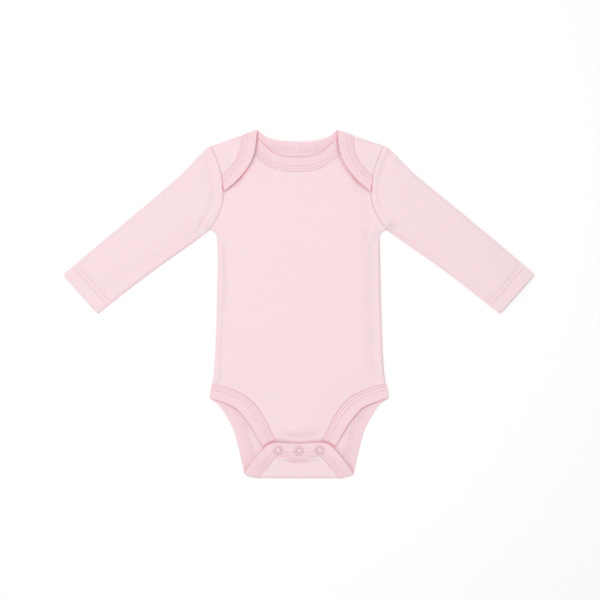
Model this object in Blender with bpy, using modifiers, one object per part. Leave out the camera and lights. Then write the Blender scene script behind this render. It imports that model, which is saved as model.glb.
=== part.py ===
"""A baby onesie laid flat, front up: cotton cloth in one layer on another, with ring snaps at the crotch.

The part stands in its own frame: +Z up off the surface it lies on, +Y towards the neck, +X towards the
wearer's left sleeve, and the origin at the middle of its outline, on the surface. Sizes are in millimetres
and are turned to metres where a mesh is made. Every panel and binding is cut flat, in the cloth's own plane,
and then laid: the back goes round a roll at each shoulder, to lap over the front, and round another at the
crotch, where its tail comes up over the front. The outlines are those of the +X half, and the other half
mirrors it.
"""

import math

import bmesh
import bpy
from mathutils import Matrix, Vector

MM = 0.001
GARMENT = "baby_onesie"

# The cloth and how it is stacked, mm.
WALL = 1.2
SEAM_GAP = 0.3
FRONT_FLOOR = WALL + SEAM_GAP
FRONT_DOME = 1.4
DOME_LOW, DOME_HIGH, DOME_FADE = -120.0, 140.0, 60.0
TAIL_LIFT = 1.5
TAIL_LIFT_RUN = 22.0

# How finely the cloth is cut, mm: its score lines, and the steps round a roll and to a span of an outline.
CELL = 17.4
FLAT_REACH = 250.0
ROLL_CUTS = 6
SPAN_STEPS = 3
ONE_POINT = 0.01
NO_SLIVER = 0.05
CORNER_ROOM = 1.0

# The shoulder fold: where its outside edge runs, and the outside radius of its roll.
SHOULDER_INNER = Vector((49.8, 207.7))
SHOULDER_OUTER = Vector((103.4, 189.3))
SHOULDER_ROLL = 2.1
SHOULDER_ALONG = (SHOULDER_OUTER - SHOULDER_INNER).normalized()
SHOULDER_OUTWARD = Vector((-SHOULDER_ALONG.y, SHOULDER_ALONG.x))
FRONT_SHOULDER_INSET = 2.6

# The crotch fold: its outside edge is straight, with round corners.
CROTCH_FOLD_Y = -207.7
CROTCH_HALF_WIDTH = 65.7
CROTCH_CORNER_RISE = 5.2
CROTCH_CORNER_POWER = 12
CROTCH_ROLL = 2.4

# Outlines as laid, mm from the middle: each row is one point of a smooth curve.
# side seam from leg to underarm: x, y
SIDE_SEAM = [
    (107.2, -112.3), (105.4, -100.0), (102.0, -86.0), (99.6, -46.0),
    (98.0, 2.0), (96.9, 60.0), (97.6, 81.0), (100.6, 87.2), (105.4, 90.1),
]
# armhole from underarm to shoulder: x, y
ARMHOLE = [
    (105.4, 90.1), (100.0, 98.2), (94.2, 108.5), (90.0, 119.4), (88.2, 132.0),
    (88.9, 146.8), (91.6, 159.0), (94.9, 170.0), (98.9, 179.8), (103.4, 189.3),
]
# back neck binding on the back, from the middle to the shoulder fold: free edge x, y, seam x, y
BACK_NECK = [
    (0.0, 194.2, 0.0, 177.3), (15.0, 194.9, 17.6, 178.1), (28.0, 197.0, 32.6, 180.9),
    (39.1, 201.6, 47.5, 187.2),
]
# the same binding on the lap, from the shoulder fold to the armhole: free edge x, y, seam x, y
LAP_EDGE = [
    (48.5, 201.5, 66.8, 198.8), (49.8, 190.1, 67.2, 190.6), (51.7, 180.5, 68.8, 183.0),
    (56.3, 168.7, 72.4, 174.0), (64.3, 156.8, 77.6, 166.4), (75.0, 145.6, 84.0, 159.4),
    (88.0, 135.2, 90.0, 153.6),
]
# front neck binding from the middle to the shoulder: free edge x, y, seam x, y
FRONT_NECK = [
    (0.0, 175.9, 0.0, 159.0), (15.6, 177.5, 17.6, 160.6), (28.0, 181.4, 32.6, 165.4),
    (36.4, 187.9, 44.0, 173.2), (45.6, 198.0, 57.6, 186.4), (54.0, 210.0, 69.6, 202.0),
]
# front leg binding from the side seam to the crotch: free edge x, y, seam x, y
FRONT_LEG = [
    (107.2, -112.3, 104.7, -96.0), (95.1, -115.9, 89.2, -99.0), (80.8, -121.4, 73.0, -105.3),
    (72.4, -127.3, 60.4, -112.9), (62.3, -139.4, 48.0, -126.4), (54.7, -151.2, 39.6, -140.6),
    (48.0, -163.1, 32.9, -154.4), (42.0, -173.0, 26.6, -166.0), (39.6, -181.0, 23.4, -177.6),
    (39.0, -190.0, 22.4, -190.0),
]
# back leg binding from the side seam to the crotch fold: free edge x, y, seam x, y
BACK_LEG = [
    (107.2, -112.3, 104.7, -96.0), (95.4, -122.0, 83.4, -109.6), (85.8, -136.4, 70.7, -128.8),
    (78.6, -150.8, 63.0, -144.3), (74.4, -165.2, 58.0, -161.1), (70.8, -179.6, 54.4, -175.5),
    (67.6, -194.0, 51.0, -191.2),
]
# the same binding on the tail, from the crotch fold to the middle of its end: free edge x, y, seam x, y
TAIL_EDGE = [
    (62.2, -196.6, 45.2, -203.6), (54.7, -187.4, 39.6, -196.9), (48.0, -179.2, 34.0, -189.6),
    (41.4, -171.6, 29.2, -183.8), (33.6, -166.8, 25.8, -181.4), (24.4, -165.2, 21.2, -181.3),
    (12.0, -165.9, 11.6, -183.4), (0.0, -166.7, 0.0, -184.4),
]

# The sleeve, mm: its corners at the cuff, its edges from the armhole to the cuff, and its section.
CUFF_UPPER = Vector((282.2, 35.6))
CUFF_LOWER = Vector((241.0, -10.8))
SLEEVE_UPPER = [
    (103.4, 189.3), (108.2, 187.2), (122.2, 173.4), (136.2, 158.8), (152.4, 144.4),
    (204.0, 101.4), (255.6, 58.2), tuple(CUFF_UPPER),
]
SLEEVE_LOWER = [(105.4, 90.1), (130.2, 72.0), (171.0, 43.4), (208.8, 14.8), tuple(CUFF_LOWER)]
SLEEVE_EDGE_RADIUS = 1.5
SLEEVE_DOME = 1.2
SLEEVE_RINGS = 11
SLEEVE_ACROSS = 6
SLEEVE_ROUND = 4

# The snaps, mm: their middles on the tail, and the turned profile of each part as radius, height.
SNAPS = {1: (-24.8, -174.2), 2: (0.0, -175.1), 3: (24.8, -174.2)}
SNAP_STEPS = 16
SNAP_RING = [(4.4, 0.9), (5.3, 0.6), (5.5, 0.1), (5.3, 0.0), (2.7, 0.0), (2.6, 0.3), (3.4, 0.7)]
SNAP_SOCKET = [(0.0, 1.8), (4.6, 1.8), (5.0, 1.5), (5.0, 0.6), (2.3, 0.6), (2.3, 1.5), (0.0, 1.5)]
SNAP_STUD = [(0.0, 1.2), (1.7, 1.2), (2.0, 0.9), (1.8, 0.3), (5.0, 0.3), (5.0, 0.0), (0.0, 0.0)]

# Colours as linear values, and roughness.
FINISHES = {
    "cotton_interlock": ((0.92, 0.75, 0.78), 0.9),
    "cotton_binding": ((0.90, 0.70, 0.74), 0.9),
    "enamelled_snap": ((0.88, 0.62, 0.67), 0.35),
}


def smooth(rows, steps=SPAN_STEPS):
    """The points of a smooth curve through rows of any width: Catmull-Rom, with steps points to each span."""
    points = [Vector(row) for row in rows]
    ends = [points[0] * 2 - points[1]] + points + [points[-1] * 2 - points[-2]]
    curve = []
    for before, start, end, after in zip(ends, ends[1:], ends[2:], ends[3:]):
        for step in range(steps):
            t = step / steps
            pull = (end - before) * 0.5 * (t - 2 * t**2 + t**3)
            push = (after - start) * 0.5 * (t**3 - t**2)
            place = start * (1 - 3 * t**2 + 2 * t**3) + end * (3 * t**2 - 2 * t**3)
            curve.append(place + pull + push)
    return curve + [points[-1].copy()]


def shifted(path, distance):
    """A path of 2D points moved to its left-hand side by a distance."""
    moved = []
    for before, here, after in zip([path[0]] + path[:-1], path, path[1:] + [path[-1]]):
        along = (after - before).normalized()
        moved.append(here + Vector((-along.y, along.x)) * distance)
    return moved


def along(path, fraction):
    """The point at a fraction of the length of a path."""
    lengths = [(after - before).length for before, after in zip(path, path[1:])]
    left = fraction * sum(lengths)
    for before, after, length in zip(path, path[1:], lengths):
        if left <= length:
            return before.lerp(after, left / length)
        left -= length
    return path[-1].copy()


def ease(t):
    """0 to 1 with flat ends, for t from 0 to 1."""
    t = min(max(t, 0.0), 1.0)
    return t * t * (3 - 2 * t)


def roll(past, radius):
    """(travel, height) of the cloth's outside this far past the start of a half turn of this radius."""
    if past <= 0:
        return past, 0.0
    angle = min(past / radius, math.pi)
    over = max(past - math.pi * radius, 0.0)
    return radius * math.sin(angle) - over, radius * (1 - math.cos(angle))


def shoulder_travel(point):
    """How far a point lies outward of the line where the shoulder's roll starts."""
    return (point - SHOULDER_INNER).dot(SHOULDER_OUTWARD) + SHOULDER_ROLL


def crotch_start(x):
    """The height up the garment at which the crotch's roll starts, on this column."""
    corner = CROTCH_CORNER_RISE * min(abs(x) / CROTCH_HALF_WIDTH, 1.0) ** CROTCH_CORNER_POWER
    return CROTCH_FOLD_Y + corner + CROTCH_ROLL


def lay_back(flat):
    """Where a point of the back's flat cut lies: the outside of the cloth, on the surface or rolled over."""
    past = shoulder_travel(flat)
    if past > 0:
        travel, height = roll(past, SHOULDER_ROLL)
        laid = flat + SHOULDER_OUTWARD * (travel - past)
        return laid.x, laid.y, height
    start = crotch_start(flat.x)
    travel, height = roll(start - flat.y, CROTCH_ROLL)
    over = start - flat.y - math.pi * CROTCH_ROLL
    return flat.x, start - travel, height + TAIL_LIFT * ease(over / TAIL_LIFT_RUN)


def cut_of_lap(laid):
    """The flat cut of a point that lies on the lap."""
    travel = shoulder_travel(laid)
    return laid + SHOULDER_OUTWARD * (math.pi * SHOULDER_ROLL - 2 * travel)


def cut_of_tail(laid):
    """The flat cut of a point that lies on the tail."""
    start = crotch_start(laid.x)
    return Vector((laid.x, start - math.pi * CROTCH_ROLL - (laid.y - start)))


def lay_front(flat):
    """Where a point of the front lies: the cloth's inside, just above the back, crowned in the middle."""
    across = max(1 - (flat.x / SIDE_SEAM[3][0]) ** 2, 0.0)
    down = ease((flat.y - DOME_LOW) / DOME_FADE) * ease((DOME_HIGH - flat.y) / DOME_FADE)
    return flat.x, flat.y, FRONT_FLOOR + FRONT_DOME * across * down


def trim_at_shoulder(cloth):
    """Ends the front's cloth inside the shoulder's fold, clear of its roll."""
    point = SHOULDER_INNER - SHOULDER_OUTWARD * FRONT_SHOULDER_INSET
    bmesh.ops.bisect_plane(
        cloth,
        geom=cloth.verts[:] + cloth.edges[:] + cloth.faces[:],
        plane_co=point.to_3d() * MM,
        plane_no=SHOULDER_OUTWARD.to_3d(),
        clear_outer=True,
    )


def score(cloth, lines):
    """Cuts the faces of flat cloth along lines, each a point and a normal in mm."""
    for point, normal in lines:
        parts = cloth.verts[:] + cloth.edges[:] + cloth.faces[:]
        bmesh.ops.bisect_plane(
            cloth,
            geom=parts,
            dist=NO_SLIVER * MM,
            plane_co=point.to_3d() * MM,
            plane_no=normal.to_3d(),
        )


def grid_lines():
    """Score lines a cell apart, up to where the outlines run."""
    widest, longest = int(SIDE_SEAM[3][0] // CELL), int(FLAT_REACH // CELL)
    columns = [(Vector((CELL * n, 0)), Vector((1, 0))) for n in range(1, widest + 1)]
    rows = [(Vector((0, CELL * n)), Vector((0, 1))) for n in range(-longest, longest + 1)]
    return columns + rows


def roll_lines():
    """Score lines along both rolls of the back, close enough for a round fold."""
    start = SHOULDER_INNER - SHOULDER_OUTWARD * SHOULDER_ROLL
    step = math.pi * SHOULDER_ROLL / ROLL_CUTS
    shoulder = [(start + SHOULDER_OUTWARD * step * n, SHOULDER_OUTWARD) for n in range(ROLL_CUTS + 1)]
    step = math.pi * CROTCH_ROLL / ROLL_CUTS
    top = CROTCH_FOLD_Y + CROTCH_ROLL + CROTCH_CORNER_RISE
    turns = ROLL_CUTS + math.ceil(CROTCH_CORNER_RISE / step)
    crotch = [(Vector((0, top - step * n)), Vector((0, 1))) for n in range(turns + 1)]
    return shoulder + crotch


def cut_cloth(name, outline):
    """The flat mesh of the outline of one half: a filled 2D curve, welded into one face.

    Points within a seam's gap of the garment's middle are put on it, where the halves meet.
    """
    curve = bpy.data.curves.new(name + "_outline", "CURVE")
    curve.dimensions = "2D"
    curve.fill_mode = "BOTH"
    spline = curve.splines.new("POLY")
    spline.points.add(len(outline) - 1)
    for point, (x, y) in zip(spline.points, outline):
        point.co = (x * MM if x > SEAM_GAP else 0.0, y * MM, 0.0, 1.0)
    spline.use_cyclic_u = True
    pattern = bpy.data.objects.new(name + "_outline", curve)
    bpy.context.scene.collection.objects.link(pattern)
    graph = bpy.context.evaluated_depsgraph_get()
    mesh = bpy.data.meshes.new_from_object(pattern.evaluated_get(graph))
    bpy.data.objects.remove(pattern)
    cloth = bmesh.new()
    cloth.from_mesh(mesh)
    bpy.data.meshes.remove(mesh)
    bmesh.ops.remove_doubles(cloth, verts=cloth.verts, dist=ONE_POINT * MM)
    bmesh.ops.dissolve_faces(cloth, faces=cloth.faces)
    return cloth


def lay(name, cloth, place, finish, whole=True):
    """Lays flat cloth by a function of its points, as a walled piece, with its mirror half if whole."""
    for face in cloth.faces:
        face.normal_update()
        if face.normal.z > 0:
            face.normal_flip()
    for vert in cloth.verts:
        vert.co = Vector(place(vert.co.to_2d() / MM)) * MM
    piece = add_piece(name, mesh_of(name, cloth), finish)
    if whole:
        mirror = piece.modifiers.new("other_half", "MIRROR")
        mirror.merge_threshold = ONE_POINT * MM
    thicken(piece)
    return piece


def mesh_of(name, cloth):
    """A mesh with smooth faces from a bmesh, which it frees."""
    mesh = bpy.data.meshes.new(name)
    cloth.to_mesh(mesh)
    cloth.free()
    mesh.shade_smooth()
    return mesh


def thicken(piece):
    """Gives an open sheet its wall, on the side that its faces look away from."""
    solid = piece.modifiers.new("wall", "SOLIDIFY")
    solid.thickness = WALL * MM
    solid.offset = -1.0
    solid.use_even_offset = True


def add_piece(name, mesh, finish):
    """Puts a mesh in the garment's collection as a named sub-part with its own material."""
    colour, roughness = FINISHES[finish]
    material = bpy.data.materials.new(name + "_" + finish)
    material.use_nodes = True
    shader = material.node_tree.nodes["Principled BSDF"]
    shader.inputs["Base Color"].default_value = (*colour, 1.0)
    shader.inputs["Roughness"].default_value = roughness
    shader.inputs["Metallic"].default_value = 0.0
    mesh.materials.append(material)
    piece = bpy.data.objects.new(name, mesh)
    bpy.data.collections[GARMENT].objects.link(piece)
    return piece


def reflected(piece, name, finish):
    """The same cloth on the other side of the garment."""
    mesh = piece.data.copy()
    mesh.transform(Matrix.Scale(-1, 4, (1, 0, 0)))
    mesh.flip_normals()
    mesh.materials.clear()
    other = add_piece(name, mesh, finish)
    thicken(other)
    return other


def neck_rows():
    """Stations of the neck binding in the back's flat cut, from the middle to the lap's end."""
    lap = [(*cut_of_lap(Vector(row[:2])), *cut_of_lap(Vector(row[2:]))) for row in LAP_EDGE]
    return smooth(BACK_NECK + lap)


def back_leg_rows():
    """Stations of the leg and tail binding in the back's flat cut, from side seam to tail's middle."""
    tail = [(*cut_of_tail(Vector(row[:2])), *cut_of_tail(Vector(row[2:]))) for row in TAIL_EDGE]
    return smooth(BACK_LEG + tail)


def edges_of(rows):
    """The free edge and the seam of a binding's stations."""
    return [Vector(row[:2]) for row in rows], [Vector(row[2:]) for row in rows]


def panel_side(rows):
    """A panel's own edge along a binding: its seam, a seam's gap away."""
    return shifted(edges_of(rows)[1], -SEAM_GAP)


def side_seam():
    """The side seam of a panel, from the leg binding up to just short of the underarm."""
    return [point for point in smooth(SIDE_SEAM)[:-1] if point.y > FRONT_LEG[0][3] + CORNER_ROOM]


def armhole(gap=SEAM_GAP / 2):
    """The armhole from underarm to shoulder, a gap to the panels' side of the seam."""
    return shifted(smooth(ARMHOLE), gap)


def make_back_panel():
    """The back body in one with its shoulder laps and its tail."""
    arm = [point for point in armhole() if shoulder_travel(point) < 0]
    lap_arm = [cut_of_lap(point) for point in arm if point.y > LAP_EDGE[-1][3] + CORNER_ROOM]
    outline = panel_side(back_leg_rows())[::-1] + side_seam() + arm + lap_arm[::-1]
    outline += panel_side(neck_rows())[::-1]
    cloth = cut_cloth("back_panel", outline)
    score(cloth, grid_lines() + roll_lines())
    lay("back_panel", cloth, lay_back, "cotton_interlock")


def make_front_panel():
    """The front body, one layer, which ends in a plain tab under the tail."""
    outline = [Vector((0, FRONT_LEG[-1][1]))] + panel_side(smooth(FRONT_LEG))[::-1] + side_seam()
    outline += armhole() + panel_side(smooth(FRONT_NECK))[::-1]
    cloth = cut_cloth("front_panel", outline)
    trim_at_shoulder(cloth)
    score(cloth, grid_lines())
    lay("front_panel", cloth, lay_front, "cotton_interlock")


def make_neck_bands():
    """The binding of the front neckline, and the one along both laps and the back neck."""
    edge, seam = edges_of(smooth(FRONT_NECK))
    cloth = cut_cloth("front_neck_band", edge + seam[::-1])
    trim_at_shoulder(cloth)
    score(cloth, grid_lines())
    lay("front_neck_band", cloth, lay_front, "cotton_binding")
    edge, seam = edges_of(neck_rows())
    low, high = LAP_EDGE[-1][1] + CORNER_ROOM, LAP_EDGE[-1][3] - CORNER_ROOM
    end = [cut_of_lap(point) for point in armhole() if low < point.y < high]
    cloth = cut_cloth("back_neck_band", edge + end + seam[::-1])
    score(cloth, grid_lines() + roll_lines())
    lay("back_neck_band", cloth, lay_back, "cotton_binding")


def make_leg_bands():
    """The binding of each front leg edge, and the one that runs round both back legs and the tail."""
    edge, seam = edges_of(smooth(FRONT_LEG))
    cloth = cut_cloth("leg_band_front_left", edge + seam[::-1])
    score(cloth, grid_lines())
    left = lay("leg_band_front_left", cloth, lay_front, "cotton_binding", whole=False)
    reflected(left, "leg_band_front_right", "cotton_binding")
    edge, seam = edges_of(back_leg_rows())
    cloth = cut_cloth("leg_band_back", edge + seam[::-1])
    score(cloth, grid_lines() + roll_lines())
    lay("leg_band_back", cloth, lay_back, "cotton_binding")


def sleeve_place(u, v):
    """A point of the sleeve's plan, at u of its length from armhole to cuff and v of its width upwards."""
    arm, lower, upper = armhole(-SEAM_GAP / 2), smooth(SLEEVE_LOWER), smooth(SLEEVE_UPPER)
    across = along(arm, v).lerp(CUFF_LOWER.lerp(CUFF_UPPER, v), u)
    below = along(lower, u) - lower[0].lerp(lower[-1], u)
    above = along(upper, u) - upper[0].lerp(upper[-1], u)
    return across + below * (1 - v) + above * v


def sleeve_section(width):
    """One ring of the sleeve's outside as (fraction of its width, height): flat below, crowned above."""
    edge = SLEEVE_EDGE_RADIUS / width
    steps = [edge + (1 - 2 * edge) * n / SLEEVE_ACROSS for n in range(SLEEVE_ACROSS + 1)]
    turns = [math.pi * n / SLEEVE_ROUND for n in range(1, SLEEVE_ROUND)]
    lower = [(v, 0.0) for v in steps]
    round_up = [(1 - edge + edge * math.sin(a), SLEEVE_EDGE_RADIUS * (1 - math.cos(a))) for a in turns]
    crown = [(v, 2 * SLEEVE_EDGE_RADIUS + SLEEVE_DOME * 4 * v * (1 - v)) for v in steps]
    round_down = [(1 - v, height) for v, height in round_up]
    return lower + round_up + crown[::-1] + round_down[::-1]


def make_sleeves():
    """Each sleeve: a flattened tube, open at the armhole and at the cuff."""
    cloth = bmesh.new()
    rings = []
    for n in range(SLEEVE_RINGS):
        u = n / (SLEEVE_RINGS - 1)
        width = (sleeve_place(u, 1.0) - sleeve_place(u, 0.0)).length
        ring = [(sleeve_place(u, v), height) for v, height in sleeve_section(width)]
        rings.append([cloth.verts.new(Vector((*place, height)) * MM) for place, height in ring])
    for ring, following in zip(rings, rings[1:]):
        for n in range(len(ring)):
            cloth.faces.new((ring[n - 1], ring[n], following[n], following[n - 1]))
    bmesh.ops.recalc_face_normals(cloth, faces=cloth.faces)
    left = add_piece("sleeve_left", mesh_of("sleeve_left", cloth), "cotton_interlock")
    thicken(left)
    reflected(left, "sleeve_right", "cotton_interlock")


def turn(name, profile, place, finish):
    """A piece turned from a profile of radius and height, listed down its outer side."""
    shape = bmesh.new()
    verts = [shape.verts.new((radius * MM, 0, height * MM)) for radius, height in profile]
    for start, end in zip(verts, verts[1:]):
        shape.edges.new((start, end))
    if profile[0][0] > 0:
        shape.edges.new((verts[-1], verts[0]))
    piece = add_piece(name, mesh_of(name, shape), finish)
    piece.location = Vector(place) * MM
    screw = piece.modifiers.new("turned", "SCREW")
    screw.steps = screw.render_steps = SNAP_STEPS
    screw.use_merge_vertices = True
    screw.merge_threshold = ONE_POINT * MM
    return piece


def make_snaps():
    """Each snap: its stud on the front's tab, its socket under the tail and its ring on the tail."""
    tab_top = FRONT_FLOOR + WALL
    tail_top = 2 * CROTCH_ROLL + TAIL_LIFT
    for number, (x, y) in SNAPS.items():
        seat = (x, y, tab_top + SEAM_GAP)
        turn(f"snap_stud_{number}", SNAP_STUD, seat, "enamelled_snap")
        turn(f"snap_socket_{number}", SNAP_SOCKET, seat, "enamelled_snap")
        turn(f"snap_ring_{number}", SNAP_RING, (x, y, tail_top + SEAM_GAP), "enamelled_snap")


def main():
    """Clears the scene and builds each piece in the garment's collection."""
    for obj in list(bpy.data.objects):
        bpy.data.objects.remove(obj)
    bpy.context.scene.collection.children.link(bpy.data.collections.new(GARMENT))
    make_back_panel()
    make_front_panel()
    make_neck_bands()
    make_leg_bands()
    make_sleeves()
    make_snaps()


main()
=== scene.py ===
"""The looks of a baby onesie laid flat, front up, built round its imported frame.

Each piece of cloth is cut flat in its own plane, given the height of its seams and creases, and laid as
the frame's cloth lies: the back goes round a roll at each shoulder, to lap over the front, and round
another at the crotch, where its tail comes up over the front. Sizes are in millimetres and turn to metres
where a mesh is made.
"""

import logging
import math
from collections.abc import Callable, Iterable, Sequence
from dataclasses import dataclass, field
from enum import Enum

import bpy
import numpy as np
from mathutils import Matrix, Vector, geometry
from numpy.typing import NDArray


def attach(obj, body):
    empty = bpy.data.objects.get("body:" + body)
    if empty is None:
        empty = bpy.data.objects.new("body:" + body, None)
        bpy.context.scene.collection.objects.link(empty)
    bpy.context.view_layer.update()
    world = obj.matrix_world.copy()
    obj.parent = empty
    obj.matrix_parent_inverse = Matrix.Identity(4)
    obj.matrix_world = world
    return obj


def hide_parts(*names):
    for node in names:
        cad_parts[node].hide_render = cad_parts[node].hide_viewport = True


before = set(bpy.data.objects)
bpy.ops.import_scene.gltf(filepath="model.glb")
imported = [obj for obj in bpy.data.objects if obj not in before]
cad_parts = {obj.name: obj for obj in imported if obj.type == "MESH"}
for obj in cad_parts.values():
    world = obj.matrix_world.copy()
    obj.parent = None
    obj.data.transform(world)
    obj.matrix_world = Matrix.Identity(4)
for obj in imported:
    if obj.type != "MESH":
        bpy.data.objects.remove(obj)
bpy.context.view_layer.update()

LOG = logging.getLogger("onesie")
Array = NDArray[np.float64]
Place = Callable[[Array, Array], Array]
Row = tuple[float, ...]

MM = 0.001
BODY = "root"

# The cloth and how it is stacked, mm: the same as in the frame.
WALL = 1.2
SEAM_GAP = 0.3
SEWN_GAP = 0.06
FRONT_FLOOR = WALL + SEAM_GAP
FRONT_DOME = 1.4
DOME_LOW, DOME_HIGH, DOME_FADE = -120.0, 140.0, 60.0
TAIL_LIFT = 1.5
TAIL_LIFT_RUN = 22.0

# How far the shoulder lap's loose cloth stands off the front, and over what run it gets there, mm.
LAP_LIFT = 1.6
LAP_LIFT_RUN = 16.0
LAP_HELD = 24.0

# The back neck stands up a little behind the front one: how far, and over what run, mm.
NECK_STAND = 3.0
NECK_STAND_RUN = 18.0
NECK_BOW = 0.0078
NECK_HELD = 14.0

# Near the shoulder fold the front's cloth is pressed thinner: by what share, and over what run, mm.
SHOULDER_PRESS = 0.35
SHOULDER_PRESS_RUN = 12.0

# Where the lap's and the tail's edges press on the front, it sinks: how deep and how wide, mm.
CREVICE = 1.3
CREVICE_WIDTH = 1.7
CLEAR_OF_BACK = 0.25
LAP_CREVICE_INSET = 1.2
TAIL_CREVICE_INSET = 0.9

# The shoulder fold: where its outside edge runs, and the outside radius of its roll.
SHOULDER_INNER = np.array((49.8, 207.7))
SHOULDER_OUTER = np.array((103.4, 189.3))
SHOULDER_ROLL = 2.1
SHOULDER_ALONG = (SHOULDER_OUTER - SHOULDER_INNER) / np.linalg.norm(SHOULDER_OUTER - SHOULDER_INNER)
SHOULDER_OUTWARD = np.array((-SHOULDER_ALONG[1], SHOULDER_ALONG[0]))
FRONT_SHOULDER_INSET = 2.6
FRONT_SHOULDER_END = SHOULDER_ROLL - FRONT_SHOULDER_INSET

# The crotch fold: its outside edge is straight, with round corners.
CROTCH_FOLD_Y = -207.7
CROTCH_HALF_WIDTH = 65.7
CROTCH_CORNER_RISE = 5.6
CROTCH_CORNER_POWER = 8
CROTCH_ROLL = 2.4

# The whole upper body lies a little to one side of the middle: by how much, and where the lean fades, mm.
LEAN = 2.0
LEAN_LOW, LEAN_FULL = 40.0, 140.0
LEAN_INNER, LEAN_OUTER = 95.0, 190.0

# Outlines of the +X half as laid, mm from the middle: each row is one point of a smooth curve.
# side seam from leg to underarm: x, y
SIDE_SEAM = [
    (107.2, -112.3), (105.4, -100.0), (102.0, -86.0), (99.6, -46.0),
    (98.0, 2.0), (96.9, 60.0), (97.6, 81.0), (100.6, 87.2), (105.4, 90.1),
]
# armhole from underarm to shoulder: x, y
ARMHOLE = [
    (105.4, 90.1), (100.0, 98.2), (94.2, 108.5), (90.0, 119.4), (88.2, 132.0),
    (88.9, 146.8), (91.6, 159.0), (94.9, 170.0), (98.9, 179.8), (103.4, 189.3),
]
# back neck binding on the back, from the middle to the shoulder fold: free edge x, y, seam x, y
BACK_NECK = [
    (0.0, 194.2, 0.0, 181.8), (15.0, 194.9, 17.0, 182.5), (28.0, 197.0, 31.5, 184.7),
    (39.1, 201.6, 46.6, 189.3),
]
# the same binding on the lap, from the shoulder fold to the armhole: free edge x, y, seam x, y
LAP_EDGE = [
    (48.5, 201.5, 66.8, 198.8), (49.8, 190.1, 67.2, 190.6), (51.7, 180.5, 68.8, 183.0),
    (56.3, 168.7, 72.4, 174.0), (64.3, 156.8, 77.6, 166.4), (75.0, 145.6, 84.0, 159.4),
    (88.0, 135.2, 90.0, 153.6),
]
# front neck binding from the middle to the shoulder: free edge x, y, seam x, y
FRONT_NECK = [
    (0.0, 175.9, 0.0, 159.0), (15.6, 177.5, 17.6, 160.6), (28.0, 181.4, 32.6, 165.4),
    (36.4, 187.9, 44.0, 173.2), (45.6, 198.0, 57.6, 186.4), (54.0, 210.0, 69.6, 202.0),
]
# front leg binding from the side seam to the crotch: free edge x, y, seam x, y
FRONT_LEG = [
    (107.2, -112.3, 104.7, -96.0), (95.1, -115.9, 89.2, -99.0), (80.8, -121.4, 73.0, -105.3),
    (72.4, -127.3, 60.4, -112.9), (62.3, -139.4, 48.0, -126.4), (54.7, -151.2, 39.6, -140.6),
    (48.0, -163.1, 32.9, -154.4), (42.0, -173.0, 26.6, -166.0), (39.6, -181.0, 23.4, -177.6),
    (39.0, -190.0, 22.4, -190.0),
]
# back leg binding from the side seam to the crotch fold: free edge x, y, seam x, y
BACK_LEG = [
    (107.2, -112.3, 104.7, -96.0), (95.4, -122.0, 83.4, -109.6), (85.8, -136.4, 70.7, -128.8),
    (78.6, -150.8, 63.0, -144.3), (74.4, -165.2, 58.0, -161.1), (70.8, -179.6, 54.4, -175.5),
    (67.6, -194.0, 51.0, -191.2),
]
# the same binding on the tail, from the crotch fold to the middle of its end: free edge x, y, seam x, y
TAIL_EDGE = [
    (62.2, -196.6, 45.2, -203.6), (54.7, -187.4, 39.6, -196.9), (48.0, -179.2, 34.0, -189.6),
    (41.4, -171.6, 29.2, -183.8), (33.6, -166.8, 25.8, -181.4), (24.4, -165.2, 21.2, -181.3),
    (12.0, -165.9, 11.6, -183.4), (0.0, -166.7, 0.0, -184.4),
]

# The sleeve, mm: its corners at the cuff, and its edges from the armhole to the cuff.
CUFF_UPPER = (282.2, 35.6)
CUFF_LOWER = (241.0, -10.8)
SLEEVE_UPPER = [
    (103.4, 189.3), (108.2, 187.2), (122.2, 173.4), (136.2, 158.8), (152.4, 144.4),
    (204.0, 101.4), (255.6, 58.2), CUFF_UPPER,
]
SLEEVE_LOWER = [(105.4, 90.1), (130.2, 72.0), (171.0, 43.4), (208.8, 14.8), CUFF_LOWER]

# The snaps' middles on the tail, mm.
SNAPS = {1: (-24.8, -174.2), 2: (0.0, -175.1), 3: (24.8, -174.2)}

# How finely cloth is meshed, mm: inside a panel, along its edges, and the rows that follow an edge.
CELL = 2.0
EDGE_STEP = 1.7
EDGE_ROWS = (0.35, 0.8, 1.5, 2.5, 3.5, 4.6, 5.8, 7.0)
# How much room the grid leaves to the last of those rows, mm.
ROOM_TO_EDGE_ROWS = 1.4
# How near to the outline a point of a row may come, as a share of the row's own distance.
ROW_KEPT = 0.93
# How many points a smooth curve has for each span.
FINE_STEPS = 24
# Points that are nearer than this are one, mm.
ONE_POINT = 0.01
# How far a side's first point stays from the corner before it, mm.
CORNER_CLEAR = 0.4
# The angle from which an edge between two faces is shaded sharp.
SHARP_FROM = math.radians(55)

# The side seam's top, where the underarm's curve starts, mm.
UNDERARM_START = 88.0

# How open to the sky a point is where the painted shade is at its deepest, and where none is painted, so
# that its colour is all that of the open cloth.
PAINTED_SHADE_FULL_AT = 0.34
PAINTED_SHADE_NONE_AT = 0.74


class Facing(Enum):
    """Which way the outside of a cloth looks from its flat cut."""

    UP = "up"
    DOWN = "down"


# ---------------------------------------------------------------- curves and fields


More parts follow.
